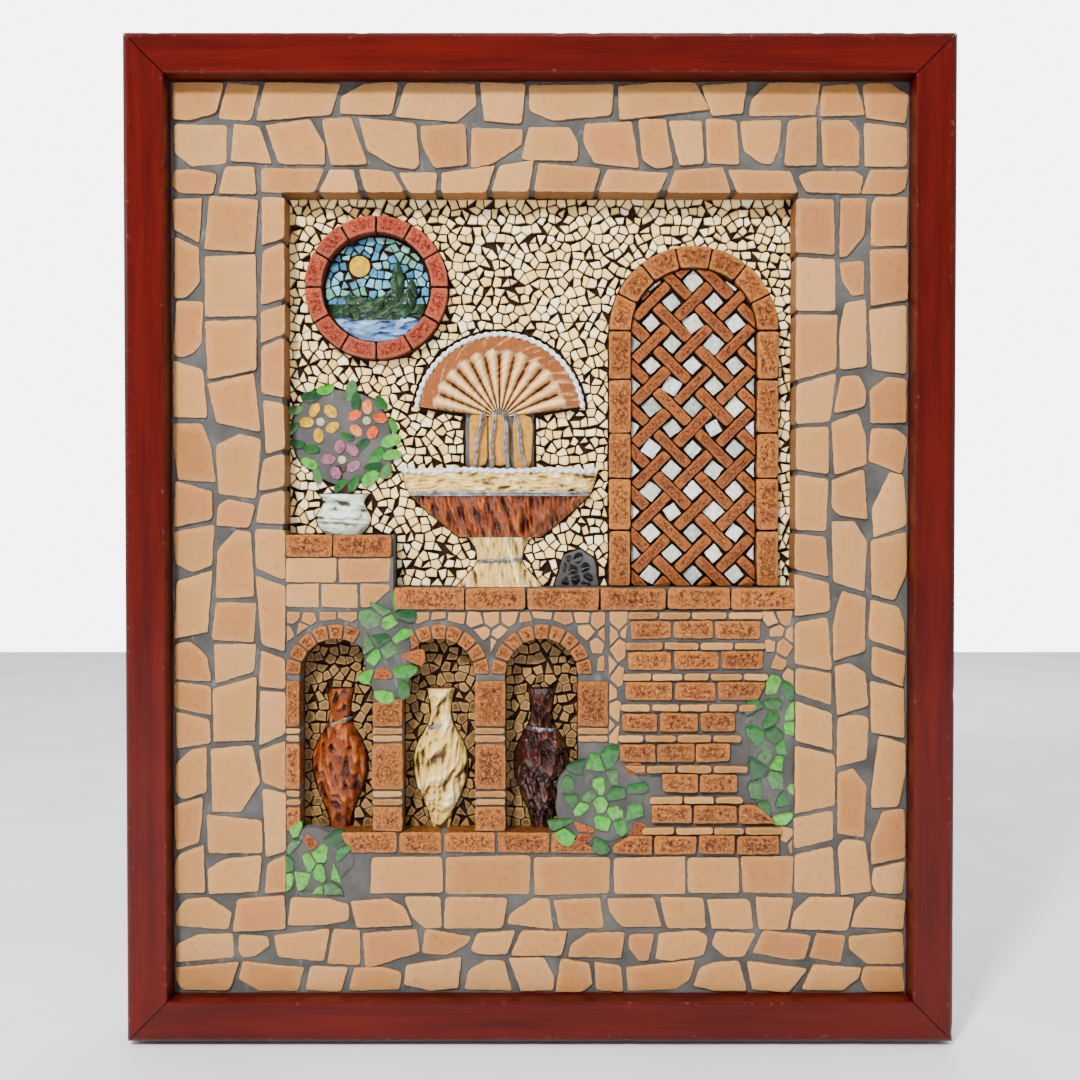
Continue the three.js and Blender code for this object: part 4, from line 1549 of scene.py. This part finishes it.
def folded_relief(batch, columns, rows, back, outline, paint, fold, cell, seed, stretch):
    """A relief whose outline(s, t) gives x, depth and z, folded by `fold` millimetres, less at its rim."""

    def front(s, t):
        x, depth, z = outline(s, t)
        creases = crumple(np.column_stack([x, z]), cell, seed, stretch)
        rim = np.clip(np.minimum.reduce([s, 1 - s, t, 1 - t]) * 12, 0.35, 1)
        colour = paint(x, z) if callable(paint) else paint
        return x, np.maximum(depth + fold * creases * rim, back + 0.6), z, colour, 0.5 + 0.5 * creases

    relief(batch, columns, rows, back, front)


def make_window_bricks():
    bricks = Gathered("round_window_bricks")
    nodes = nodes_like("round_window_brick")
    ring_nodes(bricks, nodes, WINDOW_X, WINDOW_Z, paints=BRICK_PAINTS, radius=1.4, arris=1.3)
    bricks.build(BRICK, "red_brick", *nodes)


def make_window_sky():
    sky, suns = Gathered("window_sky_chips"), Gathered("window_sun")
    sun = (WINDOW_X - 15, WINDOW_Z + 19)
    view = np.array(clip(disc_outline(WINDOW_X, WINDOW_Z, VIEW_RADIUS, 40), (WINDOW_X, HORIZON), (0, -1)))
    lay_chips(sky, view, [disc_outline(*sun, 9.5, 20)], 7.6, SKY_PAINTS, 5.0)
    sky.build(BLUE_CHIP, "blue_chip")
    shard(suns, disc_outline(*sun, 9.0, 20), BED + 0.2, BED + 4.2, FRUIT_PAINTS["yellow"], 0.7, 0.6, 0.2, 3)
    suns.build(FRUIT, "fruit_chip")


def half_chord(z):
    """Half the width of the view at a height."""
    return np.sqrt(np.maximum(VIEW_RADIUS**2 - (z - WINDOW_Z) ** 2, 1.0)) - 0.8


def hills(s, t):
    base = half_chord(SHORE)
    across = base + (half_chord(HORIZON) - base) * t
    swell = 9 * np.sin(math.pi * s) * (1 + 0.6 * np.sin(3 * math.pi * s + 0.6))
    z = SHORE + (HORIZON + 1 + swell - SHORE) * t
    depth = HILLS_BACK + 2 + 4.0 * np.sin(math.pi * s) * (0.5 + 0.5 * t)
    return WINDOW_X + across * (2 * s - 1), depth, z


def cypress(x, foot, height, half):
    """Front of a tapered tree, for folded_relief."""

    def front(s, t):
        width = half * np.sin(math.pi * np.clip(0.08 + 0.9 * t, 0, 1)) ** 0.7
        depth = HILLS_BACK + 3.4 + 3.4 * np.sin(math.pi * s)
        return x - width * np.cos(math.pi * s), depth, foot + height * t

    return front


def make_window_hills():
    ground = Gathered("window_hills")
    folded_relief(ground, 90, 34, HILLS_BACK, hills, pigment("3c5c40"), 2.2, 8, 21, (1.0, 0.8))
    for x, foot, height, half in ((17, 3, 33, 6), (29, -2, 24, 5)):
        tree = cypress(WINDOW_X + x, HORIZON + foot, height, half)
        folded_relief(ground, 22, 44, HILLS_BACK, tree, pigment("34583a"), 0.9, 6, 31 + half, (0.8, 1.5))
    ground.build(GREEN_GLAZE, "green_glaze", "round_window_hills")


def river(s, t):
    foot = WINDOW_Z - VIEW_RADIUS * 0.985
    z = foot + (SHORE + 1.2 + 1.3 * np.sin(17 * s) - foot) * t
    return WINDOW_X + half_chord(z) * (2 * s - 1), HILLS_BACK + 2.2 + 1.2 * np.sin(math.pi * s), z


def river_paint(x, z):
    spots = np.column_stack([x, z])
    streak = smooth_noise(spots, (13, 2.0), 4) + 0.4 * smooth_noise(spots, (5, 1.2), 6)
    share = np.clip(0.5 + 0.8 * streak, 0, 1)[:, None]
    return pigment("2f5f9c") * (1 - share) + pigment("9fc0dc") * share


def make_window_river():
    water = Gathered("window_river")
    folded_relief(water, 90, 22, HILLS_BACK, river, river_paint, 0.5, 7, 41, (2.2, 0.6))
    water.build(BLUE_PAINT, "blue_paint")


def make_round_window():
    make_window_bricks()
    make_window_sky()
    make_window_hills()
    make_window_river()


# ---- turned shapes in folds ----------------------------------------------------------------------

COPPER_PAINT, CREAM_PAINT = pigments("9c5f36", "e6cc88")


def turned_relief(node, lip):
    """Front of a turned relief as its CAD node has it, for folded_relief."""
    heights, lefts, rights = turned_outline(node)
    low, high = place(node)
    widest = (rights - lefts).max() / 2

    def front(s, t):
        z = low[2] + (high[2] - low[2]) * t
        left, right = np.interp(z, heights, lefts), np.interp(z, heights, rights)
        half = (right - left) / 2
        bulge = (high[1] - low[1] - lip - 1.0) * half / widest
        depth = low[1] + lip + bulge * np.sin(math.pi * s)
        return (left + right) / 2 - half * np.cos(math.pi * s), depth, z

    return front, low, high


def band_across(batch, surface, t_left, t_right, width, lift=0.7):
    """A silver strip laid across a turned relief."""
    s = np.linspace(0.02, 0.98, 26)
    x, depth, z = surface(s, t_left + (t_right - t_left) * s)
    metal_band(batch, np.column_stack([x, depth + lift, z]), width, 1.1, pigment("c8cacc"))


def make_turned(name, node, lip, size, paint, fold, cell, seed, stretch, look, slot):
    """A turned relief in folds, in the place of its CAD node."""
    batch = Gathered(name)
    surface, low, high = turned_relief(node, lip)
    folded_relief(batch, *size, low[1], surface, paint, fold, cell, seed, stretch)
    batch.build(look, slot, node)
    return surface


def make_jars(silver):
    kinds = (
        ("1_copper", COPPER, "copper_lacquer", COPPER_PAINT),
        ("2_cream", CREAM, "cream_lacquer", CREAM_PAINT),
        ("3_chocolate", CHOCOLATE, "chocolate_lacquer", pigment("5c382e")),
    )
    for i, (node, (name, look, slot, paint)) in enumerate(zip(JARS, kinds)):
        shape = (2.4, (64, 130), paint, 3.8, 7.5, 60 + 9 * i, (0.8, 2.0))
        surface = make_turned(f"jar_{name}", node, *shape, look, slot)
        band_across(silver, surface, 0.72, 0.80 - 0.05 * i, 3.4)


def make_basin(silver):
    """A bowl of copper folds, with a silver strip between it and the cream band under its rim."""
    surface, low, _ = turned_relief("fountain_basin", 4.0)
    upper = 0.66
    copper, cream = Gathered("fountain_bowl"), Gathered("fountain_bowl_band")

    def lower_bowl(s, t):
        x, depth, z = surface(s, t * upper)
        flutes = 1.3 * np.cos(14 * math.pi * s) * np.sin(math.pi * s)
        return x, depth + flutes, z

    def upper_bowl(s, t):
        x, depth, z = surface(s, upper + 0.012 + t * (1 - upper - 0.012))
        return x, depth + 1.0, z

    folded_relief(copper, 230, 56, low[1], lower_bowl, COPPER_PAINT, 2.8, 7.5, 71, (0.55, 2.0))
    copper.build(COPPER, "copper_lacquer", "fountain_basin")
    folded_relief(cream, 230, 30, low[1], upper_bowl, CREAM_PAINT, 2.4, 7, 83, (1.3, 0.9))
    cream.build(CREAM, "cream_lacquer")
    band_across(silver, surface, upper - 0.01, upper - 0.01, 3.6, 1.6)
    return surface


def make_pedestal(silver):
    shape = (3.0, (80, 52), pigment("e2c888"), 2.6, 7, 91, (0.7, 2.4))
    surface = make_turned("fountain_stand", "fountain_pedestal", *shape, CREAM, "cream_lacquer")
    band_across(silver, surface, 0.5, 0.56, 3.2)


def make_shell():
    low, high = SHELL_LOW, SHELL_HIGH
    back = low[1]
    pleats = 12
    batch = Gathered("fountain_scallop")
    pearl, rose, copper = pigment("d2ae7e"), pigment("ae7c52"), pigment("9c6a44")

    def front(s, t):
        angle = np.radians(172 - 164 * s)
        lobe = abs(np.sin(pleats * math.pi * s))
        radius = 8 + (SHELL_RADIUS - 8) * t * (0.955 + 0.045 * np.sqrt(lobe))
        fade = np.clip((0.8 - t) / 0.08, 0, 1)
        crease = (lobe - 0.6) * fade
        rim = np.clip((1 - t) / 0.04, 0, 1)
        depth = back + 4 + 7.5 * np.sin(math.pi * np.minimum(1, t * 0.8)) + 6.0 * crease * (0.35 + t)
        fine = crumple(np.column_stack([radius * angle, radius]), 9, 97, (0.5, 3.0))
        depth += 0.35 * fine - 1.2 * (1 - rim)
        share = np.clip((t - 0.76) / 0.02, 0, 1)[:, None]
        inner = np.clip(0.25 - t, 0, 0.25)[:, None] * 3
        paint = pearl * (1 - share) + rose * share * 0.6 + copper * share * 0.4
        paint = paint * (1 - inner) + copper * inner
        # Fold height, low between the pleats and high along them: the pearl look paints painted shade
        # between and painted highlight along them.
        height = np.clip(0.05 + 0.85 * lobe * fade + 0.2 * fine + 0.5 * (1 - fade), 0, 1)
        x, z = arc_points(FOUNTAIN_X, SHELL_HINGE, radius, angle).T
        return x, depth, z, paint, height

    relief(batch, 330, 60, back, front)
    batch.build(PEARL, "pearl_lacquer", "fountain_shell")


def make_trims(cords, surface):
    """Twisted cords round the shell and along the rim of the basin."""
    white = pigment("e8eaec")
    angles = np.radians(np.linspace(173, 7, 110))
    rim = arc_points(FOUNTAIN_X, SHELL_HINGE, SHELL_RADIUS - 0.6, angles)
    depth = np.full(len(angles), SHELL_LOW[1] + 8.5)
    twisted_cord(cords, np.column_stack([rim[:, 0], depth, rim[:, 1]]), 2.3, 6.5, white)
    s = np.linspace(0.0, 1.0, 120)
    x, depth, z = surface(s, np.ones(len(s)))
    twisted_cord(cords, np.column_stack([x, depth + 1.2, z - 0.5 + 0.6 * np.sin(s * 21)]), 2.4, 6.5, white)


def make_plaque(silver):
    """Three smooth ochre tiles under the shell, with silver strips of water falling over them."""
    bottom, top = BASIN_TOP + 3.0, SHELL_HINGE + 4
    grout, plaque = Gathered("fountain_plaque_grout"), Gathered("fountain_plaque_tiles")
    patch = soften(rectangle(FOUNTAIN_X - 29, FOUNTAIN_X + 29, bottom - 2, top + 5), 6, 4, 0.5, grout.rng)
    grout_patch(grout, patch, BED + 0.1, BED + 4.0, rough=0.4)
    grout.build(GROUT, "grey_grout")
    for left, right in ((-27, -10.5), (-8.3, 8.3), (10.5, 27)):
        outline = hand_cut(FOUNTAIN_X + left, FOUNTAIN_X + right, bottom, top, 1.6, plaque.rng)
        outline = soften(outline, 6.5, 3.0, 0.1, plaque.rng)
        shape = {"arris": 0.8, "crown": 0.5, "rough": 0.1, "rings": 3, "tilt": 0.01}
        shard(plaque, outline, BED + 2, BED + 6.6, pigment("dcb264"), **shape)
    plaque.build(OCHRE, "ochre_tile")
    t = np.linspace(0, 1, 22)
    for offset in (-18.5, -6, 5.5, 18):
        x = FOUNTAIN_X + offset * (0.75 + 0.45 * t) + 0.8 * np.sin(9 * t + offset)
        path = np.column_stack([x, BED + 8.2 + 2.2 * np.sin(math.pi * t), top + 1 - (top - bottom + 4) * t])
        metal_band(silver, path, 3.2, 1.4, pigment("dfe3e6"))


def make_fountain(silver, cords):
    make_shell()
    surface = make_basin(silver)
    make_pedestal(silver)
    make_trims(cords, surface)
    make_plaque(silver)


def make_pebbles():
    grout = Gathered("pebble_grout")
    grout_patch(grout, soften(PEBBLE_PATCH, 4, 3.5, 0.6, grout.rng), BED + 0.1, BED + 3.8)
    grout.build(GROUT, "grey_grout")
    batch = Gathered("black_pebbles")
    rng = batch.rng
    points = strewn(PEBBLE_PATCH, 8.2, rng)
    for cell in cells(points, 7.5):
        cell = inset(clip_to(cell, PEBBLE_PATCH, 0.9), 2.2, 0.5, rng)
        if area(cell) > 14:
            shard(
                batch, soften(cell, 2.6, 2.4, 0.1, rng), BED + 2, BED + 5.4 + rng.uniform(-0.5, 0.7),
                pigment("1b1d20") * rng.uniform(0.7, 1.6), arris=1.0, crown=0.8, rings=2, tilt=0.05,
            )
    batch.build(PEBBLE, "black_pebble")


# ---- tree ----------------------------------------------------------------------------------------


def make_pot_and_stem():
    shape = (3.0, (84, 60), pigment("dfe6d6"), 2.8, 8, 103, (2.4, 0.7))
    make_turned("tree_foil_pot", "tree_pot", *shape, PALE_FOIL, "pale_foil")
    shape = (2.0, (30, 46), pigment("4a1f14"), 1.3, 5, 107, (0.7, 2.6))
    make_turned("tree_stem", "tree_trunk", *shape, CHOCOLATE, "chocolate_lacquer")


def make_blossoms(rng, front):
    """Three blossoms of petal chips round a heart; gives the middle of every chip."""
    blossoms = Gathered("tree_blossom")
    middles = []
    for dx, dz, tones in ((-19, 13, ("yellow",)), (20, 14, ("orange", "peach")), (-1, -19, ("mauve",))):
        x, z = TREE_X + dx, CROWN_Z + dz
        spin = rng.uniform(0, TAU)
        for k in range(PETALS):
            angle = spin + TAU * k / PETALS + rng.normal(0, 0.08)
            centre = np.array([x + 11.6 * math.cos(angle), z + 11.6 * math.sin(angle)])
            petal = leaf_outline(*centre, rng.uniform(11.5, 13.8), rng.uniform(8.0, 9.4), -angle, 0.58)
            petal = soften(petal, 0.8, 3, 0.1, rng)
            paint = FRUIT_PAINTS[tones[k % len(tones)]] * rng.uniform(0.9, 1.1)
            shard(blossoms, petal, BED + 3, front + 1.4, paint, 0.5, 0.4, 0.1, 1, tilt=0.04)
            middles.append(centre)
        heart = soften(disc_outline(x, z, 3.8, 8), 0.6, 2, 0.2, rng)
        shard(blossoms, heart, BED + 3, front + 1.2, FRUIT_PAINTS["cream"], 0.5, 0.3, 0.1)
        middles.append(np.array([x, z]))
    blossoms.build(FRUIT, "fruit_chip")
    return middles


def make_tree():
    make_pot_and_stem()
    grout, leaves = Gathered("tree_grout"), Gathered("tree_leaves")
    front = BED + 5.0
    grout_patch(grout, CROWN, BED + 0.1, front, arris=1.6, crown=0.5, rings=7)
    grout.build(GROUT, "grey_grout")
    rng = leaves.rng
    taken = make_blossoms(rng, front)
    for point in strewn(blob(TREE_X, CROWN_Z, CROWN_RADIUS + 2, CROWN_RADIUS + 1, "crown", 0.1), 8.5, rng):
        if np.hypot(*(np.array(taken) - point).T).min() < 9.6:
            continue
        size = rng.uniform(14, 19)
        away = math.atan2(point[1] - CROWN_Z, point[0] - TREE_X)
        width, turn = size * rng.uniform(0.42, 0.55), -away + rng.normal(0, 0.5)
        leaf = leaf_outline(*point, size, width, turn, rng.uniform(0.5, 0.8))
        taken.append(point)
        paint = one_of(LEAF_PAINTS, rng, 0.85, 1.1)
        leaf = soften(leaf, 0.8, 3, 0.12, rng)
        shard(leaves, leaf, BED + 3, front + 1.0, paint, 0.5, 0.25, 0.1, 1, tilt=0.05)
    leaves.build(LEAF, "leaf_chip")


# ---- room, lights and camera ---------------------------------------------------------------------


STUDIO_FRONT = 0.2
STUDIO_BACK = 2.0
STUDIO_SEEN = 6.0


def make_room():
    mesh = bpy.data.meshes.new("floor")
    half, level = 3.0, -HALF_HEIGHT * MM - 0.004
    corners = [(*corner, level) for corner in rectangle(-half, half, -half, half).tolist()]
    mesh.from_pydata(corners, [], [(0, 1, 2, 3)])
    floor = bpy.data.objects.new("floor", mesh)
    bpy.context.collection.objects.link(floor)
    look = Look("pale_floor", Roughness=0.7)
    mesh.materials.append(look.finish(look.ramp(look.noise(200, 2), (0.3, "ececec"), (0.7, "f4f4f4"))))


def make_world():
    """A pale studio, dimmer on the viewer's side so that gloss stays deep, and white where it is seen."""
    world = bpy.data.worlds.new("studio")
    world.use_nodes = True
    nodes = world.node_tree.nodes
    lit, output = nodes["Background"], nodes["World Output"]
    seen, direction, parts, depth, path, either = (
        nodes.new("ShaderNode" + kind)
        for kind in ("Background", "TexCoord", "SeparateXYZ", "MapRange", "LightPath", "MixShader")
    )
    lit.inputs["Color"].default_value = seen.inputs["Color"].default_value = (1, 1, 1, 1)
    seen.inputs["Strength"].default_value = STUDIO_SEEN
    for socket, value in (("From Min", -1), ("To Min", STUDIO_FRONT), ("To Max", STUDIO_BACK)):
        depth.inputs[socket].default_value = value
    for start, end in (
        (direction.outputs["Generated"], parts.inputs[0]),
        (parts.outputs["Y"], depth.inputs["Value"]),
        (depth.outputs[0], lit.inputs["Strength"]),
        (path.outputs["Is Camera Ray"], either.inputs[0]),
        (lit.outputs[0], either.inputs[1]),
        (seen.outputs[0], either.inputs[2]),
        (either.outputs[0], output.inputs[0]),
    ):
        world.node_tree.links.new(start, end)
    bpy.context.scene.world = world


def add_light(name, position, size, power, glossy=True):
    """A round soft light aimed at the middle of the panel."""
    light = bpy.data.lights.new(name, "AREA")
    light.shape = "DISK"
    light.size = size
    light.energy = power
    lamp = bpy.data.objects.new(name, light)
    bpy.context.collection.objects.link(lamp)
    lamp.location = position
    lamp.rotation_euler = (-mathutils.Vector(position)).to_track_quat("-Z", "Y").to_euler()
    lamp.visible_glossy = glossy


def make_lights():
    add_light("key", (-0.85, -2.0, 1.6), 0.35, 148, glossy=False)
    add_light("fill", (1.7, -2.0, -0.1), 1.6, 14, glossy=False)
    add_light("glint_above", (0.3, -0.9, 2.4), 0.5, 16)
    add_light("glint_left", (-2.3, -0.9, 0.7), 0.5, 12)
    add_light("back_fill", (0.8, 2.4, 1.6), 2.0, 40)


def make_camera():
    data = bpy.data.cameras.new("camera")
    data.sensor_width = 36
    data.lens = 41.0
    camera = bpy.data.objects.new("camera", data)
    bpy.context.collection.objects.link(camera)
    eye = mathutils.Vector((0, -(FRAME_FRONT * MM + 1.0), 0.015))
    camera.location = eye
    aim = mathutils.Vector((0, -FRAME_FRONT * MM, 0))
    camera.rotation_euler = (aim - eye).to_track_quat("-Z", "Y").to_euler()
    bpy.context.scene.camera = camera


make_camera()
make_room()
make_world()
make_lights()
make_frame()
finish_beds()
make_surround_grout()
make_surround()
make_wall_chips()
make_arcade_chips()
make_copings()
make_arcade()
make_steps()
make_terrace_tiles()
make_foliage()
make_gate()
make_trellis()
make_round_window()
silver_strips = Gathered("silver_strips")
white_cords = Gathered("white_cords")
make_jars(silver_strips)
make_fountain(silver_strips, white_cords)
silver_strips.build(SILVER, "silver_strip")
white_cords.build(CORD, "white_cord")
make_pebbles()
make_tree()
